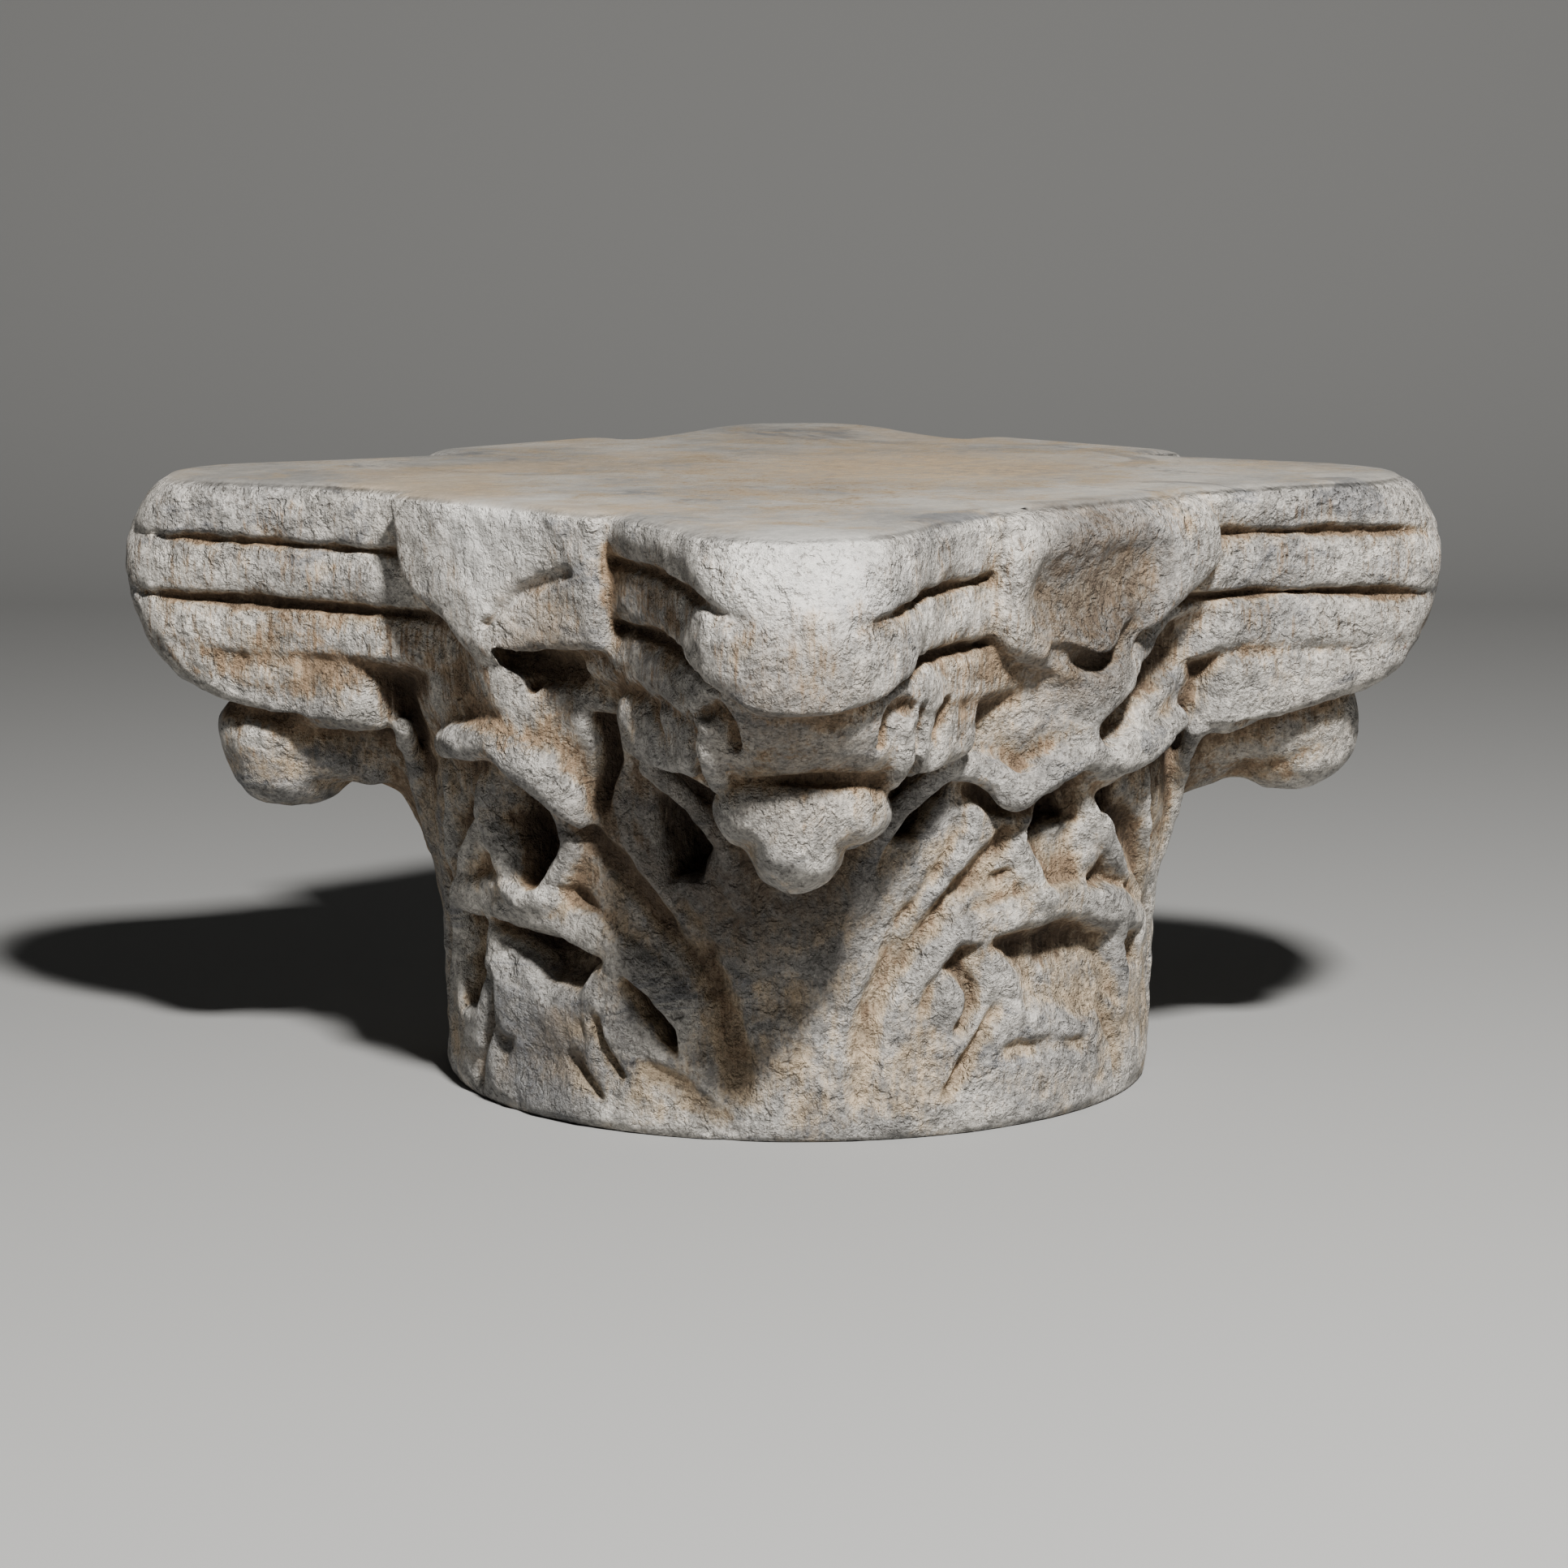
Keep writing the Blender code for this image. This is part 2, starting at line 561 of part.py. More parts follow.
def flank_surface(horn, across, up, sink):
    """A place on a horn or the mass below it, met when coming in from outside at a height."""
    way, right = turned(HORNS[horn])
    outs = np.linspace(1.0, 0.5, 251) * HORN_REACH
    places = way * outs[:, None] + right * across * HORN_REACH + np.array((0.0, 0.0, up * HEIGHT))
    gaps = [shape.distance(*places.T) for shape in (Flank(horn), Abacus())]
    return places[np.argmax(np.min(gaps, axis=0) < 0.0)] - way * sink


def flank_point(horn, side, along, up, sink):
    """A place on the left or right side of a horn, along the side from the middle of the face."""
    way, right = turned(HORNS[horn] + 45.0 * side)
    aside = along * HORN_REACH
    sweep = side_sweep()
    out = SIDE_REACH + sweep - math.sqrt((sweep + FLANK_INSET + sink) ** 2 - aside ** 2)
    return way * out - right * side * aside + np.array((0.0, 0.0, up * HEIGHT))


def add_boss(stone, face):
    """The worn block in the middle of one side of the abacus, with the stem below it."""
    stone.add(Boss(face), 0.004)
    stem = (boss_point(face, *BOSS_STEM_TOP), bell_point(face, *BOSS_STEM_FOOT))
    stone.add(Limb(stem, BOSS_STEM_RADII), 0.014)


def cut_boss(stone, face):
    """The broken hollow in the front of a boss and the dark gaps under it."""
    if face == "right":
        for path, thick in BOSS_HOLLOWS:
            points = smooth_curve([boss_point(face, *place) for place in path])
            stone.cut(Limb(points, np.linspace(thick[0], thick[1], len(points))), 0.004)
    else:
        crack = smooth_curve([boss_point(face, *place) for place in CRACK])
        stone.cut(Limb(crack, np.full(len(crack), 0.0028)), 0.002)
        dark = smooth_curve([boss_point(face, *place) for place in DARK_GAP])
        stone.cut(Limb(dark, np.linspace(0.0090, 0.0080, len(dark))), 0.003)
        below = (boss_point(face, 0.22, 1.00, 0.008), boss_point(face, 0.18, 1.12, 0.010))
        stone.cut(Limb(below, (0.0070, 0.0035)), 0.003)


def add_horn(stone, horn):
    """What hangs below one horn: the flank, the corner leaf's lip, its tongue, rims and scrolls."""
    stone.add(Flank(horn), 0.006)
    way, right = turned(HORNS[horn])
    level = (right, way, (0.0, 0.0, 1.0))
    lift = LIP_LIFTS[horn] / HEIGHT
    core = [horn_point(horn, *place) for place in HORN_CORE]
    stone.add(Limb(core, HORN_CORE_RADII), 0.010)
    lip = smooth_curve([horn_point(horn, across, out, up + lift) for across, out, up, thick in CORNER_LIP])
    radii = smooth_curve([(thick, 0.0) for across, out, up, thick in CORNER_LIP])[:, 0]
    stone.add(Limb(lip, radii), 0.005)
    across, out, up = TONGUE
    tongue = horn_point(horn, across, out, up + lift)
    stone.add(Lump(tongue, level, (TONGUE_WIDTHS[horn], TONGUE_THICKNESS, TONGUE_DROP)), 0.005)
    for side in (-1.0, 1.0):
        face = horn_face(horn, side)
        rim = smooth_curve([bell_point(face, -side * across, up, proud)
                            for across, up, proud in CORNER_RIM])
        stone.add(Limb(rim, np.full(len(rim), RIM_RADIUS)), 0.004)


def scroll_path(horn, side, path, sink):
    """A smooth curve on the mass beside a nose, through places to its left or right."""
    return smooth_curve([flank_surface(horn, side * across + SCROLL_SHIFT, up, sink)
                         for across, up in path])


def horn_face(horn, side):
    """The face of the stone that the left or right side of a horn belongs to."""
    angle = (HORNS[horn] + 45.0 * side + 180.0) % 360.0 - 180.0
    return min(FACES, key=lambda face: abs((FACES[face] - angle + 180.0) % 360.0 - 180.0))


def cut_horn(stone, horn):
    """The drilled and cut hollows of one horn, and the rims of the scrolls between them."""
    for side in (-1.0, 1.0):
        gap = smooth_curve([flank_point(horn, side, along, up, -0.001) for along, up in FINGER_GAP])
        stone.cut(Limb(gap, np.full(len(gap), FINGER_GAPS[horn])), 0.003)
        if horn in SCROLLED:
            rim = scroll_path(horn, side, SCROLL_RIM, 0.0)
            stone.add(Limb(rim, np.linspace(0.8, 1.2, len(rim)) * RIM_RADIUS), 0.003)
            channel = scroll_path(horn, side, SCROLL_CHANNEL, 0.003)
            stone.cut(Limb(channel, np.linspace(1.0, 1.3, len(channel)) * CHANNEL), 0.002)
            eye = scroll_path(horn, side, SCROLL_EYE, 0.002)
            stone.cut(Limb(eye, 1.3 * CHANNEL * np.sin(np.linspace(0.4, math.pi - 0.4, len(eye)))), 0.002)
            valley = [nose_point(horn, side * NOSE_VALLEY, up, -UNDERCUT - NOSE_VALLEY_RISE)
                      for up in NOSE_VALLEY_UPS]
            stone.cut(Limb(valley, NOSE_VALLEY_RADII), 0.006)
        else:
            gap = smooth_curve([flank_point(horn, side, along + FINGER_SPREAD, up, 0.0)
                                for along, up in FINGER_GAP])
            stone.cut(Limb(gap, np.full(len(gap), FINGER_GAPS[horn])), 0.003)
    crease = [horn_point(horn, across, out, up + LIP_LIFTS[horn] / HEIGHT)
              for across, out, up in LIP_CREASE]
    crease = smooth_curve(crease)
    if horn in CREASES:
        narrowing = np.sin(np.linspace(0.3, math.pi - 0.3, len(crease)))
        stone.cut(Limb(crease, CREASES[horn] * narrowing), 0.003)


def add_leaf_lip(stone, face):
    """The curled top of the leaf in the middle of a face."""
    path = LIPS.get(face, LIPS["plain"])
    points = smooth_curve([bell_point(face, across, up, proud) for across, up, proud, thick in path])
    radii = smooth_curve([(thick, 0.0) for across, up, proud, thick in path])[:, 0]
    stone.add(Limb(points, radii), 0.007)


def carve_outline(relief, face, side):
    """The long valleys that part a leaf from the corner leaf beside it, and the flutes of that."""
    outer = ((0.19 * side, 0.82), (0.37 * side, 0.70), (0.59 * side, 0.52), (0.76 * side, 0.32),
             (0.80 * side, 0.02))
    relief.groove(face, outer, (0.06, 0.11), 1.1 * CUT_DEPTH)
    inner = ((0.46 * side, 0.82), (0.53 * side, 0.69), (0.64 * side, 0.56), (0.75 * side, 0.42))
    relief.groove(face, inner, (0.06, 0.06), 0.6 * CUT_DEPTH)
    relief.ridge(face, ((0.41 * side, 0.88), (0.45 * side, 0.74), (0.58 * side, 0.58), (0.69 * side, 0.46)),
                 (0.05, 0.05), 0.0025)
    for across in (0.89, 0.98):
        relief.groove(face, ((across * side, 0.46), (across * side, 0.02)), (0.07, 0.07), 0.2 * CUT_DEPTH)


def carve_front_leaf(relief, face):
    """The leaf with the deep upper eye and three drilled eyes under its arch."""
    relief.swell(face, (-1.00, 0.90), (0.30, 0.55), 0.012)
    carve_outline(relief, face, 1.0)
    carve_outline(relief, face, -1.0)
    arch = ((-0.56, 0.46), (-0.38, 0.52), (-0.10, 0.55), (0.16, 0.53), (0.38, 0.455), (0.55, 0.36),
            (0.66, 0.23))
    relief.ridge(face, arch, (0.12, 0.11), 0.0045)
    relief.ridge(face, ((0.14, 0.90), (0.22, 0.75), (0.16, 0.63), (0.08, 0.57)), (0.08, 0.10), 0.0045)
    relief.ridge(face, ((-0.12, 0.88), (-0.17, 0.77), (-0.10, 0.66), (-0.02, 0.57)), (0.08, 0.10), 0.0045)
    relief.ridge(face, ((-0.22, 0.80), (-0.35, 0.66), (-0.50, 0.50), (-0.60, 0.33)), (0.06, 0.06), 0.0025)
    relief.ridge(face, ((-0.25, 0.46), (-0.20, 0.36), (-0.14, 0.25)), (0.05, 0.16), 0.0030)
    relief.ridge(face, ((0.345, 0.42), (0.31, 0.33), (0.36, 0.20)), (0.08, 0.18), 0.0030)
    relief.hollow(face, ((0.55, 0.87), (0.66, 0.82), (0.73, 0.74), (0.68, 0.66), (0.57, 0.65),
                         (0.53, 0.77)),
                  1.6 * DRILL_DEPTH)
    relief.hollow(face, ((0.34, 1.08), (0.46, 1.08), (0.44, 0.95), (0.345, 0.80), (0.33, 0.88),
                         (0.35, 0.98)),
                  0.7 * DRILL_DEPTH)
    relief.hollow(face, ((0.00, 0.91), (0.12, 0.88), (0.18, 0.72), (0.09, 0.63), (0.01, 0.585),
                         (-0.09, 0.76)),
                  1.2 * DRILL_DEPTH, wall=0.07)
    relief.hollow(face, ((-0.27, 0.67), (-0.13, 0.68), (-0.17, 0.60), (-0.30, 0.58)), 0.5 * CUT_DEPTH)
    relief.hollow(face, ((-0.50, 0.485), (-0.27, 0.500), (-0.29, 0.33), (-0.36, 0.23), (-0.52, 0.22),
                         (-0.58, 0.34)),
                  1.1 * DRILL_DEPTH, wall=0.05)
    relief.hollow(face, ((-0.23, 0.485), (0.12, 0.485), (0.33, 0.435), (0.20, 0.330), (0.03, 0.335)),
                  1.3 * DRILL_DEPTH, wall=0.045, foot=0.4)
    relief.hollow(face, ((0.38, 0.41), (0.50, 0.36), (0.585, 0.28), (0.58, 0.200), (0.50, 0.225),
                         (0.42, 0.32)),
                  1.1 * DRILL_DEPTH)
    relief.hollow(face, ((0.13, 0.625), (0.24, 0.615), (0.37, 0.53), (0.22, 0.56)), 1.0 * CUT_DEPTH)
    relief.hollow(face, ((-0.22, 0.20), (-0.10, 0.20), (-0.21, 0.07)), CUT_DEPTH, wall=0.04)
    relief.groove(face, ((-0.235, 0.36), (-0.25, 0.24), (-0.39, 0.02)), (0.050, 0.040), CUT_DEPTH)
    relief.groove(face, ((0.29, 0.30), (0.32, 0.21), (0.39, 0.13)), (0.050, 0.035), 1.1 * CUT_DEPTH)
    relief.groove(face, ((0.15, 0.18), (0.23, 0.13), (0.31, 0.07)), (0.055, 0.040), 0.8 * CUT_DEPTH)
    relief.groove(face, ((0.45, 0.18), (0.57, 0.14), (0.67, 0.08), (0.77, 0.02)),
                  (0.06, 0.09), 0.7 * CUT_DEPTH)
    relief.swell(face, (0.02, 0.13), (0.22, 0.13), -0.0035)


def carve_right_leaf(relief, face):
    """The leaf with a square panel under its arch and teardrops beside it."""
    carve_outline(relief, face, 1.0)
    carve_outline(relief, face, -1.0)
    arch = ((-0.56, 0.41), (-0.42, 0.50), (-0.28, 0.54), (-0.08, 0.555), (0.10, 0.545), (0.30, 0.50),
            (0.54, 0.42))
    relief.ridge(face, arch, (0.11, 0.12), 0.0055)
    relief.ridge(face, ((0.00, 0.91), (-0.16, 0.86), (-0.25, 0.80), (-0.27, 0.74)), (0.08, 0.07), 0.0055)
    relief.ridge(face, ((-0.27, 0.75), (-0.20, 0.65), (-0.13, 0.58)), (0.07, 0.09), 0.0035)
    relief.ridge(face, ((0.07, 0.80), (0.19, 0.69), (0.36, 0.56)), (0.06, 0.07), 0.0030)
    relief.ridge(face, ((-0.34, 0.46), (-0.27, 0.36), (-0.26, 0.26)), (0.07, 0.13), 0.0035)
    relief.ridge(face, ((0.28, 0.45), (0.39, 0.34), (0.40, 0.22)), (0.05, 0.06), 0.0020)
    relief.swell(face, (-0.49, 0.34), (0.08, 0.12), 0.0035)
    relief.hollow(face, ((-0.70, 0.76), (-0.67, 0.84), (-0.51, 0.93), (-0.53, 0.86), (-0.62, 0.76)),
                  1.6 * DRILL_DEPTH)
    relief.hollow(face, ((-0.44, 0.93), (-0.34, 0.89), (-0.38, 0.85)), CUT_DEPTH)
    relief.groove(face, ((-0.46, 0.89), (-0.35, 0.835), (-0.22, 0.815), (-0.14, 0.85)),
                  (0.05, 0.06), 1.2 * CUT_DEPTH)
    relief.hollow(face, ((-0.04, 0.91), (0.04, 0.76), (-0.23, 0.735), (-0.15, 0.82)), 1.1 * DRILL_DEPTH)
    relief.hollow(face, ((-0.24, 0.75), (0.03, 0.77), (0.07, 0.60),
                         (-0.11, 0.59)), 1.3 * CUT_DEPTH, foot=0.4)
    relief.hollow(face, ((0.18, 0.67), (0.38, 0.55), (0.05, 0.58)), 1.2 * CUT_DEPTH)
    relief.hollow(face, ((0.07, 0.83), (0.20, 0.86), (0.24, 0.77), (0.11, 0.77)), 0.9 * DRILL_DEPTH)
    relief.hollow(face, ((0.14, 0.79), (0.28, 0.77), (0.46, 0.58), (0.36, 0.59)), 1.3 * CUT_DEPTH)
    relief.hollow(face, ((-0.46, 0.60), (-0.39, 0.67), (-0.23, 0.675), (-0.30, 0.625)), 0.9 * CUT_DEPTH)
    relief.hollow(face, ((-0.32, 0.485), (-0.20, 0.515), (0.06, 0.515), (0.28, 0.475), (0.38, 0.37),
                         (0.40, 0.25),
                         (0.20, 0.22), (-0.19, 0.28), (-0.21, 0.38)), 2.1 * CUT_DEPTH, wall=0.06, foot=0.25)
    relief.hollow(face, ((0.34, 0.47), (0.52, 0.43), (0.54, 0.33), (0.42, 0.34)), 1.4 * CUT_DEPTH)
    relief.hollow(face, ((-0.53, 0.43), (-0.46, 0.50), (-0.37, 0.48),
                         (-0.43, 0.39)), 1.6 * CUT_DEPTH, wall=0.04)
    relief.groove(face, ((-0.45, 0.42), (-0.39, 0.36), (-0.40, 0.30), (-0.45, 0.26)),
                  (0.06, 0.04), 1.1 * CUT_DEPTH)
    relief.groove(face, ((-0.46, 0.43), (-0.54, 0.39), (-0.58, 0.30)), (0.05, 0.04), 0.8 * CUT_DEPTH)
    relief.groove(face, ((-0.28, 0.34), (-0.34, 0.25), (-0.42, 0.17), (-0.50, 0.08)),
                  (0.055, 0.045), 1.1 * CUT_DEPTH)
    relief.groove(face, ((-0.27, 0.19), (-0.18, 0.20), (0.02, 0.19), (0.17, 0.17)),
                  (0.06, 0.06), 0.6 * CUT_DEPTH)
    relief.groove(face, ((0.24, 0.27), (0.36, 0.15), (0.38, 0.02)), (0.06, 0.05), 0.8 * CUT_DEPTH)


def carve_plain_leaf(relief, face):
    """A leaf of the sides that face the wall: the same pattern, evenly set and plainer."""
    arch = ((-0.60, 0.34), (-0.42, 0.46), (-0.18, 0.53), (0.0, 0.545), (0.18, 0.53), (0.42, 0.46),
            (0.60, 0.34))
    relief.ridge(face, arch, (0.11, 0.11), 0.0045)
    for side in (-1.0, 1.0):
        carve_outline(relief, face, side)
        relief.ridge(face, ((0.10 * side, 0.90), (0.19 * side, 0.75), (0.04 * side, 0.58)),
                     (0.08, 0.09), 0.0045)
        relief.ridge(face, ((0.33 * side, 0.45), (0.28 * side, 0.34), (0.32 * side, 0.22)),
                     (0.08, 0.16), 0.0030)
        relief.hollow(face, ((0.40 * side, 0.41), (0.52 * side, 0.34), (0.58 * side, 0.22),
                             (0.46 * side, 0.25)),
                      DRILL_DEPTH)
        relief.groove(face, ((0.24 * side, 0.30), (0.28 * side, 0.18), (0.34 * side, 0.05)),
                      (0.05, 0.04), CUT_DEPTH)
    relief.hollow(face, ((0.0, 0.90), (0.13, 0.74), (0.0, 0.60),
                         (-0.13, 0.74)), 1.1 * DRILL_DEPTH, wall=0.07)
    relief.hollow(face, ((-0.29, 0.45), (0.0, 0.49), (0.29, 0.45), (0.14, 0.32), (-0.14, 0.32)),
                  0.8 * DRILL_DEPTH, wall=0.08, foot=0.5)


CARVERS = {"front": carve_front_leaf, "right": carve_right_leaf,
           "back": carve_plain_leaf, "left": carve_plain_leaf}


def build_field(step):
    """The whole stone as a field on a grid of the given step."""
    stone = Stone(HORN_REACH, HEIGHT, step)
    relief = Relief(RELIEF_STEP)
    for face, carve in CARVERS.items():
        carve(relief, face)
    stone.add(Bell(relief))
    for horn in HORNS:
        add_horn(stone, horn)
    stone.add(Abacus(), 0.004)
    for face in FACES:
        add_boss(stone, face)
        add_leaf_lip(stone, face)
    for face in FACES:
        cut_boss(stone, face)
    for horn in HORNS:
        cut_horn(stone, horn)
    flat = np.maximum(-stone.z, stone.z - HEIGHT)[None, None, :]
    stone.field = np.maximum(stone.field, flat.astype(np.float32))
    return stone


def fill_doubtful(field, step):
    """Fills corners where two surfaces would touch, so that each edge keeps two faces."""
    inside = field < 0.0
    changed = True
    while changed:
        changed = False
        for first, second in ((0, 1), (0, 2), (1, 2)):
            views = []
            for shift in ((0, 0), (1, 0), (0, 1), (1, 1)):
                cut = [slice(None)] * 3
                cut[first] = slice(1, None) if shift[0] else slice(None, -1)
                cut[second] = slice(1, None) if shift[1] else slice(None, -1)
                views.append(inside[tuple(cut)])
            a, b, c, d = views
            crossed = (a == d) & (b == c) & (a != b)
            if crossed.any():
                changed = True
                for view in views:
                    view |= crossed
        corners = []
        for i in (0, 1):
            for j in (0, 1):
                for k in (0, 1):
                    cut = tuple(slice(1, None) if s else slice(None, -1) for s in (i, j, k))
                    corners.append(inside[cut])
        total = sum(corner.astype(np.int8) for corner in corners)
        for one in range(4):
            pair = corners[one] & corners[7 - one] & (total == 2)
            gaps = ~corners[one] & ~corners[7 - one] & (total == 6)
            both = pair | gaps
            if both.any():
                changed = True
                for corner in corners:
                    corner |= both
    return np.where(inside & (field >= 0.0), -0.2 * step, field)


def fill_sealed(field, step):
    """Fills hollows inside the stone that have no way out to the air around it."""
    free = field >= 0.0
    air = np.zeros(free.shape, bool)
    air[0] = free[0]
    found = 0
    while air.sum() > found:
        found = air.sum()
        for axis in range(3):
            reached = np.ascontiguousarray(np.moveaxis(air, axis, 0))
            passable = np.ascontiguousarray(np.moveaxis(free, axis, 0))
            for row in range(1, len(reached)):
                reached[row] |= reached[row - 1] & passable[row]
            for row in range(len(reached) - 2, -1, -1):
                reached[row] |= reached[row + 1] & passable[row]
            air = np.ascontiguousarray(np.moveaxis(reached, 0, axis))
    return np.where(free & ~air, -0.2 * step, field)


def surface(stone):
    """Corners and four-sided faces of the surface where the field changes sign."""
    field = fill_doubtful(fill_sealed(stone.field, stone.step), stone.step)
    inside = field < 0.0
    cells = tuple(n - 1 for n in field.shape)
    total = np.zeros(cells + (3,), np.float32)
    hits = np.zeros(cells, np.int8)
    crossings = []
    for axis in range(3):
        low = [slice(None)] * 3
        high = [slice(None)] * 3
        low[axis] = slice(None, -1)
        high[axis] = slice(1, None)
        crossed = inside[tuple(low)] != inside[tuple(high)]
        places = np.argwhere(crossed)
        before = field[tuple(low)][crossed]
        after = field[tuple(high)][crossed]
        point = places.astype(np.float32)
        point[:, axis] += before / (before - after)
        crossings.append((places, before < 0.0))
        first, second = [other for other in range(3) if other != axis]
        for i in (-1, 0):
            for j in (-1, 0):
                cell = places.copy()
                cell[:, first] += i
                cell[:, second] += j
                np.add.at(total, tuple(cell.T), point)
                np.add.at(hits, tuple(cell.T), 1)
    used = np.argwhere(hits > 0)
    index = np.full(cells, -1, np.int64)
    index[tuple(used.T)] = np.arange(len(used))
    points = total[tuple(used.T)] / hits[tuple(used.T)][:, None]
    starts = np.array((stone.x[0], stone.y[0], stone.z[0]))
    points = points.astype(float) * stone.step + starts
    faces = []
    for axis, (places, outward) in enumerate(crossings):
        first, second = ((1, 2), (2, 0), (0, 1))[axis]
        corners = []
        for i, j in ((-1, -1), (0, -1), (0, 0), (-1, 0)):
            cell = places.copy()
            cell[:, first] += i
            cell[:, second] += j
            corners.append(index[tuple(cell.T)])
        quads = np.stack(corners, axis=1)
        quads[~outward] = quads[~outward][:, ::-1]
        faces.append(quads)
    return points, np.concatenate(faces)


def marble():
    """White-grey marble with a warm patina."""
    material = bpy.data.materials.new("marble")
    material.use_nodes = True
    shader = material.node_tree.nodes["Principled BSDF"]
    shader.inputs["Base Color"].default_value = (0.62, 0.57, 0.50, 1.0)
    shader.inputs["Roughness"].default_value = 0.62
    shader.inputs["Metallic"].default_value = 0.0
    return material


def main():
    for old in list(bpy.data.objects):
        bpy.data.objects.remove(old, do_unlink=True)
    points, faces = surface(build_field(GRID))
    mesh = bpy.data.meshes.new("marble_capital")
    mesh.from_pydata(points.tolist(), [], faces.tolist())
    mesh.materials.append(marble())
    capital = bpy.data.objects.new("marble_capital", mesh)
    bpy.context.scene.collection.objects.link(capital)
    thinned = capital.modifiers.new("thinned", "DECIMATE")
    thinned.ratio = min(1.0, TRIANGLES / (2.0 * len(faces)))
    mesh.shade_smooth()


main()
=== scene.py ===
"""Looks of the marble capital: the carved stone at full detail, its patina with painted shade, and a
plain studio.

The stone is worked out as a distance field in the frame of the solid model: the turned bell with its
relief comes first, the horns, the abacus and the bosses are added to it, and the gaps and channels
are cut. The surface of that field is weathered and becomes one mesh, which stands for the solid.
"""
import math

import bpy
import numpy as np
from mathutils import Matrix, Vector


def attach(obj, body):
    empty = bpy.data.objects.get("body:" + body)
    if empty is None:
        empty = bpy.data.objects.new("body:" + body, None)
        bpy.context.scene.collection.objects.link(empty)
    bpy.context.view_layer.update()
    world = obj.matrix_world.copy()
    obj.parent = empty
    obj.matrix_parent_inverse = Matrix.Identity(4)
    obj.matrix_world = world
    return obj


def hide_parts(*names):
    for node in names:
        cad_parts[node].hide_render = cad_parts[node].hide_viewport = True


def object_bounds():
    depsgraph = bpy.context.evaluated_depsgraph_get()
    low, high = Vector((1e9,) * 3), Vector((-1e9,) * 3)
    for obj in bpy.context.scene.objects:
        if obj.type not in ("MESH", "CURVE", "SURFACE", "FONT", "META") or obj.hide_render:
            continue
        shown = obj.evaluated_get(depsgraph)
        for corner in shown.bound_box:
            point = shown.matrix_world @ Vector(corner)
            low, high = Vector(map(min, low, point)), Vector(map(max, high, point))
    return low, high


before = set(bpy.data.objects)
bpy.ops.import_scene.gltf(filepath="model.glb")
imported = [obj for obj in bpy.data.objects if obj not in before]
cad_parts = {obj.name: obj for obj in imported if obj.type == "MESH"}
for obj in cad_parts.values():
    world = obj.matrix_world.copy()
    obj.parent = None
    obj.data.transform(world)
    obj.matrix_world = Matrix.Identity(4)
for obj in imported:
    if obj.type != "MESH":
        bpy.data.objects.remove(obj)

CAD_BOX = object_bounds()
NODE = "marble_capital"

# Overall sizes
HEIGHT = 0.277
SHAFT_RADIUS = 0.1645
HORN_REACH = 0.307
WORN_HORN_REACH = 0.293
HORN_WIDTH = 0.082
SIDE_REACH = 0.184
LEAF_HEIGHT = 0.176
LIP_FLARE = 0.009
STEM_FLARE = 0.013
FOOT_WEAR = 0.0075

# The abacus, with the stems that run below it to the horns
ABACUS_DEPTH = 0.052
STEM_DEPTH = 0.023
STEM_INSET = 0.002
STEM_REST = 0.055
STEM_FADE = 0.03
FIRST_GROOVE = 0.0245
GROOVE_WIDTH = 0.006
GROOVE_DEPTH = 0.0032
BAND_WIDTH = 0.024
BAND_ROUNDING = 0.0032
FASCIA_STEP = 0.002
EDGE_WEAR = 0.01
HORN_DROOPS = {"near": 0.4, "right": 0.1, "far": 0.3, "left": 0.0}
DROOP_START = 0.227
DROOP_END = 0.301
BAND_SLANT = 0.0038

# The blunt ends of the horns
NOSE_MIDDLE = 0.042
NOSE_WEAR = 0.025
NOSE_FALL = 0.066
NOSE_CURVE = 0.07
NOSE_ROUNDING = 0.026
UNDERCUT = 0.011
NOSE_VALLEY = 0.098
NOSE_VALLEY_RISE = 0.0042
NOSE_VALLEY_UPS = (0.965, 0.93, 0.87)
NOSE_VALLEY_RADII = (0.004, 0.0065, 0.004)

# The bosses in the middle of the four sides
BOSS_WIDTHS = {"front": 0.131, "right": 0.142, "back": 0.13, "left": 0.12}
BOSS_SHIFTS = {"front": 0.0135, "right": -0.004, "back": 0.012, "left": -0.012}
BOSS_REACHES = {"front": 0.201, "right": 0.202, "back": 0.218, "left": 0.216}
BOSS_DEPTH = 0.07
BOSS_THICKNESS = 0.09
BOSS_ROUNDINGS = {"front": 0.006, "right": 0.01, "back": 0.01, "left": 0.01}
BOSS_WEAR = {"front": 0.008, "right": 0.026, "back": 0.012, "left": 0.012}
BOSS_LEAN = 4.0

# The masses and hanging leaves below the horns
FLANK_INSET = 0.0065
FLANK_FEET = {"near": (0.17, 0.156), "right": (0.163, 0.178), "far": (0.168, 0.16),
              "left": (0.164, 0.16)}
FINGER_GAPS = {"near": 0.0062, "right": 0.003, "far": 0.0045, "left": 0.0015}
LIP_LIFTS = {"near": 0.003, "right": 0.008, "far": 0.003, "left": 0.0}
FLANK_STARTS = {"near": 0.074, "right": 0.08, "far": 0.082, "left": 0.086}

# Cuts, how soon they fade towards their ends, and the spacing that the relief is worked out at
CHANNEL = 0.004
DRILL_DEPTH = 0.02
CUT_DEPTH = 0.006
STROKE_FADE = 0.16
RELIEF_STEP = 0.0015

# How round the stone is where its shapes meet
JOIN = 0.008

# Places up the bell are shares of the height of its leaves, and places round it are shares of
# half a face, from -1 at the left corner of the bell to +1 at the right corner. Places on a horn
# are shares of its reach and of the height of the stone.
HALF_FACE = math.pi / 4
FACES = {"front": -90.0, "right": 0.0, "back": 90.0, "left": 180.0}
HORNS = {"near": -45.0, "right": 45.0, "far": 135.0, "left": -135.0}

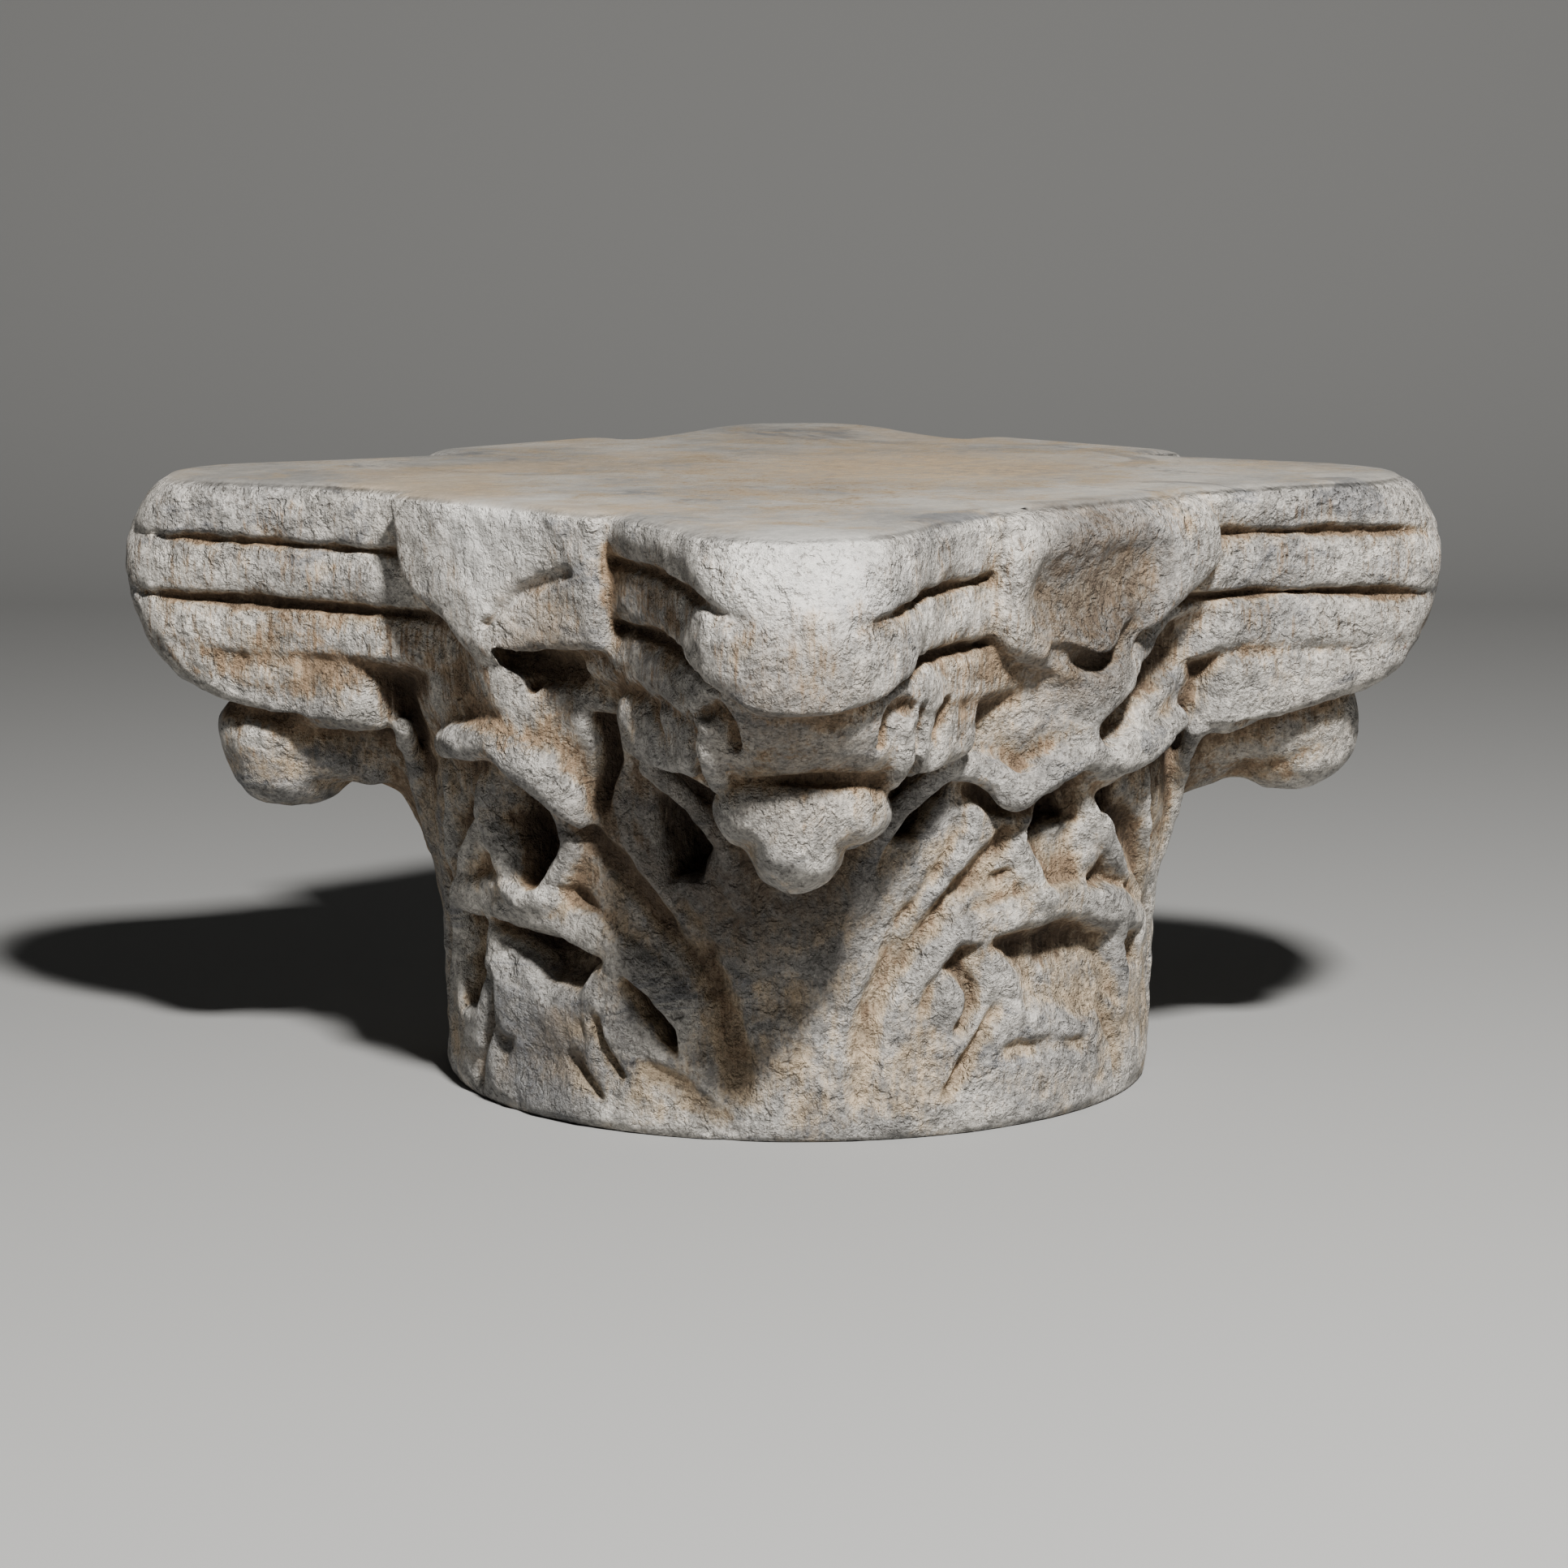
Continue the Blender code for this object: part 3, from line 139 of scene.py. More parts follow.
# The faces of the bosses: shares of half their width to the right and of their depth down
PLAIN_BOSS = ((-1.0, -0.3), (1.0, -0.3), (1.0, 0.7), (0.6, 1.0), (-0.6, 1.0), (-1.0, 0.7))
BOSS_CORNERS = {"front": ((-1.0, -0.3), (1.0, -0.3), (1.0, 0.86), (-0.3, 0.92), (-0.84, 0.68),
                          (-1.0, 0.44)),
                "right": ((-1.0, -0.3), (1.0, -0.3), (1.0, 0.5), (0.25, 0.9), (-0.55, 1.02),
                          (-1.0, 0.84)),
                "back": PLAIN_BOSS, "left": PLAIN_BOSS}
BOSS_STEM_TOP = (-0.1, 0.9, 0.03)
BOSS_STEM_FOOT = (0.08, 0.97, -0.012)
BOSS_STEM_RADII = (0.03, 0.022)
CRACK = ((-0.08, 0.76, 0.0), (0.14, 0.6, 0.0), (0.36, 0.5, 0.0), (0.74, 0.38, 0.0))
BOSS_HOLLOWS = ((((-0.55, 0.57, -0.022), (0.2, 0.52, -0.022)), (0.03, 0.03)),
                (((-0.51, 0.9, 0.001), (-0.11, 0.99, 0.003), (0.24, 0.8, 0.001)), (0.0055, 0.0065)),
                (((0.14, 1.4, 0.008), (0.52, 1.23, 0.012), (0.84, 1.03, 0.012)), (0.01, 0.015)),
                (((0.84, 1.03, 0.012), (1.06, 0.8, 0.008)), (0.015, 0.008)))
CRACK_RADIUS = 0.0028
LOW_GAP = ((0.22, 1.0, 0.008), (0.18, 1.12, 0.01))
LOW_GAP_RADII = (0.007, 0.0035)
DARK_GAP_RADII = (0.009, 0.008)
DARK_GAP = ((0.02, 0.88, 0.008), (0.26, 1.0, 0.012), (0.52, 1.02, 0.012))

# The parts of a horn: shares of its reach to the side and out, and of the height
CORNER_LIP = ((-0.05, 0.64, 0.52, 0.011), (-0.068, 0.715, 0.547, 0.013),
              (-0.056, 0.8, 0.57, 0.0148), (0.01, 0.826, 0.573, 0.015),
              (0.07, 0.8, 0.57, 0.0148), (0.078, 0.715, 0.547, 0.013), (0.058, 0.64, 0.52, 0.011))
HORN_CORE = ((0.0, 0.49, 0.578), (0.0, 0.73, 0.62))
HORN_CORE_RADII = (0.04, 0.03)
TONGUE = (-0.002, 0.762, 0.532)
TONGUE_THICKNESS = 0.032
TONGUE_DROP = 0.0255
TONGUE_WIDTHS = {"near": 0.021, "right": 0.028, "far": 0.024, "left": 0.035}
CREASES = {"near": 0.0026, "right": 0.0034, "far": 0.0026}
LIP_CREASE = ((-0.085, 0.838, 0.622), (0.01, 0.85, 0.624), (0.105, 0.838, 0.622))
FINGER_SPREAD = 0.115
FINGER_GAP = ((0.356, 0.708), (0.37, 0.672), (0.366, 0.625))

# The scrolls beside the near and far noses, from their middle: shares of the reach and of the height
SCROLLED = ("near", "far")
SCROLL_SHIFT = 0.012
SCROLL_RIM = ((0.128, 0.716), (0.13, 0.69), (0.125, 0.66), (0.11, 0.625))
SCROLL_CHANNEL = ((0.155, 0.722), (0.152, 0.685), (0.142, 0.64), (0.12, 0.595))
SCROLL_EYE = ((0.145, 0.728), (0.122, 0.742), (0.103, 0.722), (0.095, 0.685))

# The rim of a corner leaf, from the bell up to its horn: across, up and metres proud of the bell
CORNER_RIM = ((0.81, 0.6, -0.002), (0.77, 0.75, 0.002), (0.69, 0.845, 0.006), (0.63, 0.9, 0.01),
              (0.57, 0.95, 0.011))
RIM_RADIUS = 0.005

# The curled tops of the leaves: across, up, metres proud of the bell and radius
LIPS = {"front": ((-0.34, 0.93, 0.003, 0.006), (-0.16, 0.955, 0.007, 0.008),
                  (0.02, 0.965, 0.009, 0.0095), (0.17, 0.92, 0.01, 0.011), (0.25, 0.86, 0.008, 0.0095),
                  (0.29, 0.8, 0.004, 0.006)),
        "right": ((-0.52, 0.95, 0.004, 0.007), (-0.41, 0.92, 0.006, 0.007), (-0.31, 0.87, 0.007, 0.008),
                  (-0.22, 0.905, 0.007, 0.0075), (-0.09, 0.945, 0.007, 0.0075),
                  (0.06, 0.925, 0.007, 0.0075), (0.22, 0.93, 0.007, 0.007), (0.45, 0.98, 0.005, 0.006)),
        "plain": ((-0.36, 0.91, 0.004, 0.006), (-0.18, 0.95, 0.01, 0.009), (0.0, 0.97, 0.012, 0.0095),
                  (0.18, 0.95, 0.01, 0.009), (0.36, 0.91, 0.004, 0.006))}


# The eight corners of a cell of a grid
CORNERS = [(i, j, k) for i in (0, 1) for j in (0, 1) for k in (0, 1)]

# How far the grid lies off the flat foot, and how deep a filled cell is, as shares of its step
GRID_SHIFT = 0.37
FILLED = 0.2


def smooth_step(low, high, value):
    """Rises from 0 to 1 while value goes from low to high."""
    share = np.clip((value - low) / (high - low), 0.0, 1.0)
    return share * share * (3.0 - 2.0 * share)


def smooth_min(one, other, blend):
    """The lesser of two distances, rounded where they meet."""
    share = np.clip(0.5 + 0.5 * (other - one) / blend, 0.0, 1.0)
    return other + (one - other) * share - blend * share * (1.0 - share)


def smooth_max(one, other, blend):
    """The greater of two distances, rounded where they meet."""
    return -smooth_min(-one, -other, blend)


class Stone:
    """Distances to the surface of the stone on an even grid, negative inside."""

    def __init__(self, reach, height, step):
        across = int(math.ceil(reach / step)) + 3
        self.step = step
        self.x = np.arange(-across, across + 1) * step
        self.y = self.x.copy()
        self.z = np.arange(-3, int(math.ceil(height / step)) + 4) * step + GRID_SHIFT * step
        self.field = np.full((len(self.x), len(self.y), len(self.z)), reach, np.float32)

    def window(self, low, high):
        """The part of the grid between two corners, as slices and as coordinates."""
        cuts = []
        for axis, start, end in zip((self.x, self.y, self.z), low, high):
            first = int(np.searchsorted(axis, start))
            last = int(np.searchsorted(axis, end, side="right"))
            cuts.append(slice(max(first - 1, 0), min(last + 1, len(axis))))
        x = self.x[cuts[0]][:, None, None]
        y = self.y[cuts[1]][None, :, None]
        z = self.z[cuts[2]][None, None, :]
        return tuple(cuts), x, y, z

    def add(self, shape, blend=JOIN):
        cuts, x, y, z = self.window(*shape.box(blend + 2.0 * self.step))
        self.field[cuts] = smooth_min(self.field[cuts], shape.distance(x, y, z), blend)

    def cut(self, shape, blend=0.004):
        cuts, x, y, z = self.window(*shape.box(blend + 2.0 * self.step))
        self.field[cuts] = smooth_max(self.field[cuts], -shape.distance(x, y, z), blend)


class Limb:
    """A round bar that follows points and tapers from radius to radius."""

    def __init__(self, points, radii):
        self.points = np.array(points, float)
        self.radii = np.array(radii, float)

    def box(self, margin):
        spread = self.radii.max() + margin
        return self.points.min(axis=0) - spread, self.points.max(axis=0) + spread

    def distance(self, x, y, z):
        nearest = None
        for start, end, first, last in zip(self.points, self.points[1:], self.radii, self.radii[1:]):
            along = end - start
            share = (x - start[0]) * along[0] + (y - start[1]) * along[1] + (z - start[2]) * along[2]
            share = np.clip(share / max(float(along @ along), 1e-12), 0.0, 1.0)
            gap = (x - start[0] - share * along[0]) ** 2
            gap = gap + (y - start[1] - share * along[1]) ** 2
            gap = gap + (z - start[2] - share * along[2]) ** 2
            gap = np.sqrt(gap) - (first + (last - first) * share)
            nearest = gap if nearest is None else np.minimum(nearest, gap)
        return nearest.astype(np.float32)


class Lump:
    """An ellipsoid with three half sizes along three axes at right angles."""

    def __init__(self, centre, axes, sizes):
        self.centre = np.array(centre, float)
        self.axes = np.array(axes, float)
        self.sizes = np.array(sizes, float)

    def box(self, margin):
        spread = np.sqrt(((self.axes * self.sizes[:, None]) ** 2).sum(axis=0)) + margin
        return self.centre - spread, self.centre + spread

    def distance(self, x, y, z):
        near = 0.0
        far = 0.0
        for axis, size in zip(self.axes, self.sizes):
            part = (x - self.centre[0]) * axis[0] + (y - self.centre[1]) * axis[1]
            part = part + (z - self.centre[2]) * axis[2]
            near = near + (part / size) ** 2
            far = far + (part / size ** 2) ** 2
        near = np.sqrt(near)
        far = np.sqrt(far)
        return (near * (near - 1.0) / np.maximum(far, 1e-6)).astype(np.float32)


def smooth_curve(points, steps=6):
    """A smooth curve through points, with a number of steps between each two."""
    points = np.array(points, float)
    if len(points) == 2:
        return points
    padded = np.vstack((2.0 * points[0] - points[1], points, 2.0 * points[-1] - points[-2]))
    curve = []
    for before, start, end, after in zip(padded, padded[1:], padded[2:], padded[3:]):
        for share in np.arange(steps) / steps:
            bend = 3.0 * (start - end) + after - before
            slope = 2.0 * before - 5.0 * start + 4.0 * end - after
            curve.append(start + 0.5 * share * (end - before + share * (slope + share * bend)))
    curve.append(points[-1])
    return np.array(curve)


class Relief:
    """Heights on the unrolled bell: how far each place stands out from the turned surface."""

    def __init__(self, spacing):
        count = int(round(2.0 * math.pi * SHAFT_RADIUS / spacing))
        self.turns = (np.arange(count) + 0.5) * 2.0 * math.pi / count - math.pi
        self.ups = np.arange(0.0, HEIGHT + 2.0 * spacing, spacing)
        self.height = np.zeros((count, len(self.ups)), np.float32)

    def place(self, face):
        """Metres across and up from the middle of the foot of a face, wrapped round the back."""
        turn = self.turns - math.radians(FACES[face])
        turn = (turn + math.pi) % (2.0 * math.pi) - math.pi
        return (turn * SHAFT_RADIUS)[:, None], self.ups[None, :]

    def stroke_share(self, face, path, widths):
        """1 along the middle of a curved stroke, falling to 0 at its edges and its ends."""
        across, up = self.place(face)
        points = smooth_curve([on_leaf(place) for place in path])
        widths = np.linspace(widths[0], widths[1], len(points)) * LEAF_HEIGHT
        best = np.zeros_like(self.height)
        for number, (start, end) in enumerate(zip(points, points[1:])):
            gap, share = to_stretch(across, up, start, end)
            part = gap / (0.5 * (widths[number] + (widths[number + 1] - widths[number]) * share))
            along = (number + share) / (len(points) - 1)
            fade = smooth_step(-0.02, STROKE_FADE, np.minimum(along, 1.0 - along))
            best = np.maximum(best, fade * (1.0 - np.minimum(part, 1.0) ** 2))
        return best

    def groove(self, face, path, widths, depth):
        share = self.stroke_share(face, path, widths)
        self.height = self.height - depth * share

    def ridge(self, face, path, widths, rise):
        share = self.stroke_share(face, path, widths)
        self.height = self.height + rise * np.sqrt(share)

    def hollow(self, face, corners, depth, wall=0.036, foot=1.0):
        """A hollow with the given corners, whose depth changes to a share of it at its foot."""
        across, up = self.place(face)
        points = np.array([on_leaf(place) for place in corners])
        inside = np.zeros(np.broadcast(across, up).shape, bool)
        nearest = np.full(inside.shape, HEIGHT)
        for (a, b), (c, d) in zip(points, np.roll(points, -1, axis=0)):
            nearest = np.minimum(nearest, to_stretch(across, up, (a, b), (c, d))[0])
            beside = a + (up - b) * (c - a) / (d - b if d != b else 1e-9)
            inside ^= ((b > up) != (d > up)) & (across < beside)
        gap = np.where(inside, nearest, -nearest)
        share = smooth_step(-0.25 * wall * LEAF_HEIGHT, wall * LEAF_HEIGHT, gap)
        rise = np.clip((up - points[:, 1].min()) / np.ptp(points[:, 1]), 0.0, 1.0)
        self.height = self.height - depth * share * (foot + (1.0 - foot) * rise)

    def swell(self, face, centre, sizes, rise):
        """A soft swelling, highest in the middle."""
        across, up = self.place(face)
        middle = on_leaf(centre)
        spread = ((across - middle[0]) / (sizes[0] * LEAF_HEIGHT)) ** 2
        spread = spread + ((up - middle[1]) / (sizes[1] * LEAF_HEIGHT)) ** 2
        self.height = self.height + rise * (1.0 - np.minimum(spread, 1.0)) ** 2

    def radius(self, x, y, z):
        """The radius of the carved bell towards each place, read between the nearest heights."""
        count = len(self.turns)
        turn = (np.arctan2(y, x) + math.pi) / (2.0 * math.pi) * count - 0.5
        low = np.floor(turn).astype(int)
        part = (turn - low)[:, :, 0]
        low = low[:, :, 0]
        spacing = self.ups[1]
        up = np.clip(z[0, 0] / spacing, 0.0, len(self.ups) - 1.001)
        rows = np.floor(up).astype(int)
        rest = up - rows
        column = self.height[:, rows] * (1.0 - rest) + self.height[:, rows + 1] * rest
        heights = column[low % count] * (1.0 - part)[:, :, None]
        heights = heights + column[(low + 1) % count] * part[:, :, None]
        return bell_radius(z) + heights


def to_stretch(across, up, start, end):
    """The distance to the stretch between two places, and the share along it of its nearest place."""
    (a, b), (c, d) = start, end
    run = (c - a) ** 2 + (d - b) ** 2
    share = np.clip(((across - a) * (c - a) + (up - b) * (d - b)) / run, 0.0, 1.0)
    return np.hypot(across - a - share * (c - a), up - b - share * (d - b)), share


def on_leaf(place):
    """Metres across and up the bell, from shares of half a face and of the leaves' height."""
    return np.array((place[0] * HALF_FACE * SHAFT_RADIUS, place[1] * LEAF_HEIGHT))


def bell_radius(up):
    """The turned bell: straight below, flaring out under the lips and again under the stems."""
    flare = LIP_FLARE * smooth_step(0.4 * LEAF_HEIGHT, 0.85 * LEAF_HEIGHT, up)
    flare = flare + STEM_FLARE * smooth_step(0.86 * LEAF_HEIGHT, 1.1 * LEAF_HEIGHT, up)
    foot = FOOT_WEAR * (1.0 - smooth_step(-0.06 * LEAF_HEIGHT, 0.05 * LEAF_HEIGHT, up))
    return SHAFT_RADIUS + flare - foot


class Bell:
    """The carved bell, from below the foot to above the top."""

    def __init__(self, relief):
        self.relief = relief

    def box(self, margin):
        spread = SHAFT_RADIUS * 1.25 + margin
        return (-spread, -spread, -margin), (spread, spread, HEIGHT + margin)

    def distance(self, x, y, z):
        return (np.hypot(x, y) - self.relief.radius(x, y, z)).astype(np.float32)


def turned(angle):
    """The way out and the way to the right, seen from outside, at an angle in degrees."""
    turn = math.radians(angle)
    out = np.array((math.cos(turn), math.sin(turn), 0.0))
    right = np.array((-math.sin(turn), math.cos(turn), 0.0))
    return out, right


def horn_reach(horn):
    return WORN_HORN_REACH if horn == "right" else HORN_REACH


class Abacus:
    """The concave-sided slab, its grooved edge and the stems that run below it to the horns."""

    def box(self, margin):
        spread = HORN_REACH + margin
        foot = HEIGHT - 2.0 * (ABACUS_DEPTH + STEM_DEPTH)
        return (-spread, -spread, foot), (spread, spread, HEIGHT + margin)

    def distance(self, x, y, z):
        deeper = droop(x, y)
        level = (HEIGHT - z) / deeper
        down = level + BAND_SLANT * np.sin(4.0 * np.arctan2(y, x))
        inset = groove_inset(down - FIRST_GROOVE) + groove_inset(down - ABACUS_DEPTH) * 1.3
        inset = inset + FASCIA_STEP * smooth_step(FIRST_GROOVE - 0.002, FIRST_GROOVE + 0.002, down)
        inset = inset + STEM_INSET * smooth_step(ABACUS_DEPTH - 0.003, ABACUS_DEPTH + 0.003, down)
        foot = ABACUS_DEPTH + STEM_DEPTH
        inset = inset + STEM_REST * smooth_step(foot - 0.004, foot + STEM_FADE, down)
        edge = (1.0 - level / EDGE_WEAR).clip(0.0, 1.0)
        inset = inset + EDGE_WEAR * (1.0 - np.sqrt(1.0 - edge ** 2))
        body = sides(x, y) + inset
        body = smooth_max(body, noses(x, y, z, level), NOSE_ROUNDING)
        under = HEIGHT - (foot + STEM_FADE) * deeper - z
        body = smooth_max(body, under, 0.01)
        return np.maximum(body, z - HEIGHT).astype(np.float32)


def droop(x, y):
    """How much deeper the bands of the abacus get towards the tip of each horn."""
    plus = np.where(y > 0.0, HORN_DROOPS["right"], HORN_DROOPS["near"])
    minus = np.where(y > 0.0, HORN_DROOPS["far"], HORN_DROOPS["left"])
    most = np.where(x > 0.0, plus, minus)
    share = np.clip((np.hypot(x, y) - DROOP_START) / (DROOP_END - DROOP_START), 0.0, 1.0)
    return 1.0 + most * share ** 2


def side_sweep():
    """The radius of the arcs that the sides of the abacus follow, seen from above."""
    corner_out = (HORN_REACH - 0.012 + 0.5 * HORN_WIDTH) * math.sqrt(0.5)
    corner_side = (HORN_REACH - 0.012 - 0.5 * HORN_WIDTH) * math.sqrt(0.5)
    sag = corner_out - SIDE_REACH
    return (corner_side ** 2 + sag ** 2) / (2.0 * sag)


def sides(x, y):
    """Distance to the four hollow sides of the abacus, seen from above."""
    sweep = side_sweep()
    edge = None
    for angle in FACES.values():
        out, right = turned(angle)
        off = x * out[0] + y * out[1] - (SIDE_REACH + sweep)
        aside = x * right[0] + y * right[1]
        side = sweep - np.hypot(off, aside)
        edge = side if edge is None else smooth_max(edge, side, 0.002)
    return edge


def nose_wear(z):
    """How far the rounded end of a horn stands back, at each height."""
    middle = HEIGHT - NOSE_MIDDLE
    above = np.clip((z - middle) / NOSE_MIDDLE, 0.0, 1.0)
    below = np.clip((middle - z) / NOSE_FALL, 0.0, 1.0)
    worn = NOSE_WEAR * (1.0 - np.sqrt(1.0 - above ** 2.6))
    return worn + NOSE_FALL * (1.0 - np.sqrt(1.0 - below ** 2.4))


def noses(x, y, z, down):
    """Distance to the blunt ends of the horns, worn round from top to bottom."""
    worn = nose_wear(z)
    edge = None
    for horn, angle in HORNS.items():
        out, right = turned(angle)
        off = x * out[0] + y * out[1]
        aside = x * right[0] + y * right[1]
        end = off - horn_reach(horn) + aside ** 2 / (2.0 * NOSE_CURVE) + worn
        if horn == "near":
            end = end + UNDERCUT * smooth_step(ABACUS_DEPTH - 0.003, ABACUS_DEPTH + 0.005, down)
        end = np.where(off > 0.6 * HORN_REACH, end, -HORN_REACH)
        edge = end if edge is None else np.maximum(edge, end)
    return edge


def groove_inset(down):
    """How far a groove and the rounded bands beside it stand back, at a height from its middle."""
    groove = np.clip(1.0 - (down / (0.5 * GROOVE_WIDTH)) ** 2, 0.0, 1.0)
    rounding = np.clip(1.0 - np.abs(down / (0.5 * BAND_WIDTH)), 0.0, 1.0) ** 2
    return GROOVE_DEPTH * groove + BAND_ROUNDING * rounding


class Flank:
    """The mass below one horn, whose two sides carry the lobes of the corner leaf."""

    def __init__(self, horn):
        self.horn = horn

    def box(self, margin):
        corners = [horn_point(self.horn, side * 0.36, out, up)
                   for side in (-1, 1) for out in (0.32, 1.0) for up in (0.53, 1.0)]
        return np.min(corners, axis=0) - margin, np.max(corners, axis=0) + margin

    def distance(self, x, y, z):
        out, right = turned(HORNS[self.horn])
        off = x * out[0] + y * out[1]
        aside = np.abs(x * right[0] + y * right[1])
        along = (off - aside) * math.sqrt(0.5)
        top = HEIGHT - (ABACUS_DEPTH + STEM_DEPTH - 0.001) * droop(x, y)
        body = sides(x, y) + FLANK_INSET + 0.12 * np.maximum(top - 0.012 - z, 0.0)
        body = smooth_max(body, noses(x, y, z, (HEIGHT - z) / droop(x, y)), 0.016)
        start = FLANK_STARTS[self.horn]
        body = smooth_max(body, start - along, 0.01)
        foot, tip_foot = FLANK_FEET[self.horn]
        foot = foot + (tip_foot - foot) * smooth_step(start + 0.015, start + 0.085, along)
        body = smooth_max(body, foot - z, 0.012)
        return smooth_max(body, z - top, 0.009).astype(np.float32)


class Boss:
    """The block in the middle of one side of the abacus: a slab whose face has given corners."""

    def __init__(self, face):
        self.way, self.right = turned(FACES[face])
        self.middle = BOSS_SHIFTS[face]
        self.half = 0.5 * BOSS_WIDTHS[face]
        self.reach = BOSS_REACHES[face]
        self.wear = BOSS_WEAR[face]
        self.rounding = BOSS_ROUNDINGS[face]
        self.corners = np.array(BOSS_CORNERS[face]) * (self.half, -BOSS_DEPTH) + (self.middle, HEIGHT)

    def box(self, margin):
        places = [self.right * (self.middle + side * self.half) + self.way * (self.reach - thick)
                  + np.array((0.0, 0.0, up)) for side in (-1, 1) for thick in (0.0, BOSS_THICKNESS)
                  for up in (HEIGHT - BOSS_DEPTH, HEIGHT)]
        return np.min(places, axis=0) - margin, np.max(places, axis=0) + margin

    def distance(self, x, y, z):
        across = x * self.right[0] + y * self.right[1]
        off = x * self.way[0] + y * self.way[1]
        lean = math.tan(math.radians(BOSS_LEAN))
        body = np.maximum(off - self.reach + (HEIGHT - z) * lean, self.reach - BOSS_THICKNESS - off)
        for (a, b), (c, d) in zip(self.corners, np.roll(self.corners, -1, axis=0)):
            gap = ((across - a) * (b - d) + (z - b) * (c - a)) / math.hypot(c - a, d - b)
            body = smooth_max(body, gap, self.rounding)
        return smooth_max(body, z - HEIGHT, self.wear).astype(np.float32)


def bell_point(face, across, up, proud):
    """A place on the bell, from shares of half a face and of the leaves' height."""
    turn = math.radians(FACES[face]) + across * HALF_FACE
    reach = float(bell_radius(np.array(up * LEAF_HEIGHT))) + proud
    return np.array((math.cos(turn) * reach, math.sin(turn) * reach, up * LEAF_HEIGHT))


def boss_point(face, across, down, sink):
    """A place on the front of a boss: shares of its half width and of its depth, and how deep."""
    way, right = turned(FACES[face])
    lean = math.tan(math.radians(BOSS_LEAN))
    out = BOSS_REACHES[face] - down * BOSS_DEPTH * lean - sink
    side = BOSS_SHIFTS[face] + across * 0.5 * BOSS_WIDTHS[face]
    return right * side + way * out + np.array((0.0, 0.0, HEIGHT - down * BOSS_DEPTH))


def horn_point(horn, across, out, up):
    """A place on a horn: shares of its reach to the right and out, and of the height."""
    way, right = turned(HORNS[horn])
    worn = (HORN_REACH - horn_reach(horn)) * float(smooth_step(0.49, 1.0, out))
    reach = out * HORN_REACH - worn
    return right * across * HORN_REACH + way * reach + np.array((0.0, 0.0, up * HEIGHT))


def nose_point(horn, across, up, sink):
    """A place on the worn end of a horn, from shares of its reach and of the height."""
    aside = across * HORN_REACH
    undercut = UNDERCUT if horn == "near" else 0.0
    out = horn_reach(horn) - aside ** 2 / (2.0 * NOSE_CURVE) - float(nose_wear(up * HEIGHT)) - undercut
    way, right = turned(HORNS[horn])
    return right * aside + way * (out - sink) + np.array((0.0, 0.0, up * HEIGHT))


def flank_surface(horn, across, up, sink):
    """A place on a horn or the mass below it, met when coming in from outside at a height."""
    way, right = turned(HORNS[horn])
    outs = np.linspace(1.0, 0.5, 251) * HORN_REACH
    places = way * outs[:, None] + right * across * HORN_REACH + np.array((0.0, 0.0, up * HEIGHT))
    gaps = [shape.distance(*places.T) for shape in (Flank(horn), Abacus())]
    return places[np.argmax(np.min(gaps, axis=0) < 0.0)] - way * sink


def flank_point(horn, side, along, up, sink):
    """A place on the left or right side of a horn, along the side from the middle of the face."""
    way, right = turned(HORNS[horn] + 45.0 * side)
    aside = along * HORN_REACH
    sweep = side_sweep()
    out = SIDE_REACH + sweep - math.sqrt((sweep + FLANK_INSET + sink) ** 2 - aside ** 2)
    return way * out - right * side * aside + np.array((0.0, 0.0, up * HEIGHT))


def curve(point, where, path):
    """A smooth curve through places on one face or horn, given in the way of one of these points."""
    return smooth_curve([point(where, *place) for place in path])


def bar(points, first, last=None):
    """A bar along points, whose radius stays as it is or changes evenly to the last one."""
    return Limb(points, np.linspace(first, first if last is None else last, len(points)))


def add_boss(stone, face):
    """The worn block in the middle of one side of the abacus, with the stem below it."""
    stone.add(Boss(face), 0.004)
    stem = (boss_point(face, *BOSS_STEM_TOP), bell_point(face, *BOSS_STEM_FOOT))
    stone.add(Limb(stem, BOSS_STEM_RADII), 0.014)


def cut_boss(stone, face):
    """The broken hollow in the front of a boss and the dark gaps under it."""
    if face == "right":
        for path, radii in BOSS_HOLLOWS:
            stone.cut(bar(curve(boss_point, face, path), *radii), 0.004)
    else:
        stone.cut(bar(curve(boss_point, face, CRACK), CRACK_RADIUS), 0.002)
        stone.cut(bar(curve(boss_point, face, DARK_GAP), *DARK_GAP_RADII), 0.003)
        stone.cut(bar(curve(boss_point, face, LOW_GAP), *LOW_GAP_RADII), 0.003)


def add_horn(stone, horn):
    """What hangs below one horn: the flank, the corner leaf's lip, its tongue, rims and scrolls."""
    stone.add(Flank(horn), 0.006)
    way, right = turned(HORNS[horn])
    level = (right, way, (0.0, 0.0, 1.0))
    lift = LIP_LIFTS[horn] / HEIGHT
    core = [horn_point(horn, *place) for place in HORN_CORE]
    stone.add(Limb(core, HORN_CORE_RADII), 0.01)
    lip = curve(horn_point, horn, [(across, out, up + lift) for across, out, up, thick in CORNER_LIP])
    radii = smooth_curve([(thick, 0.0) for across, out, up, thick in CORNER_LIP])[:, 0]
    stone.add(Limb(lip, radii), 0.005)
    across, out, up = TONGUE
    tongue = horn_point(horn, across, out, up + lift)
    stone.add(Lump(tongue, level, (TONGUE_WIDTHS[horn], TONGUE_THICKNESS, TONGUE_DROP)), 0.005)
    for side in (-1.0, 1.0):
        face = horn_face(horn, side)
        rim = curve(bell_point, face, [(-side * across, up, proud) for across, up, proud in CORNER_RIM])
        stone.add(bar(rim, RIM_RADIUS), 0.004)


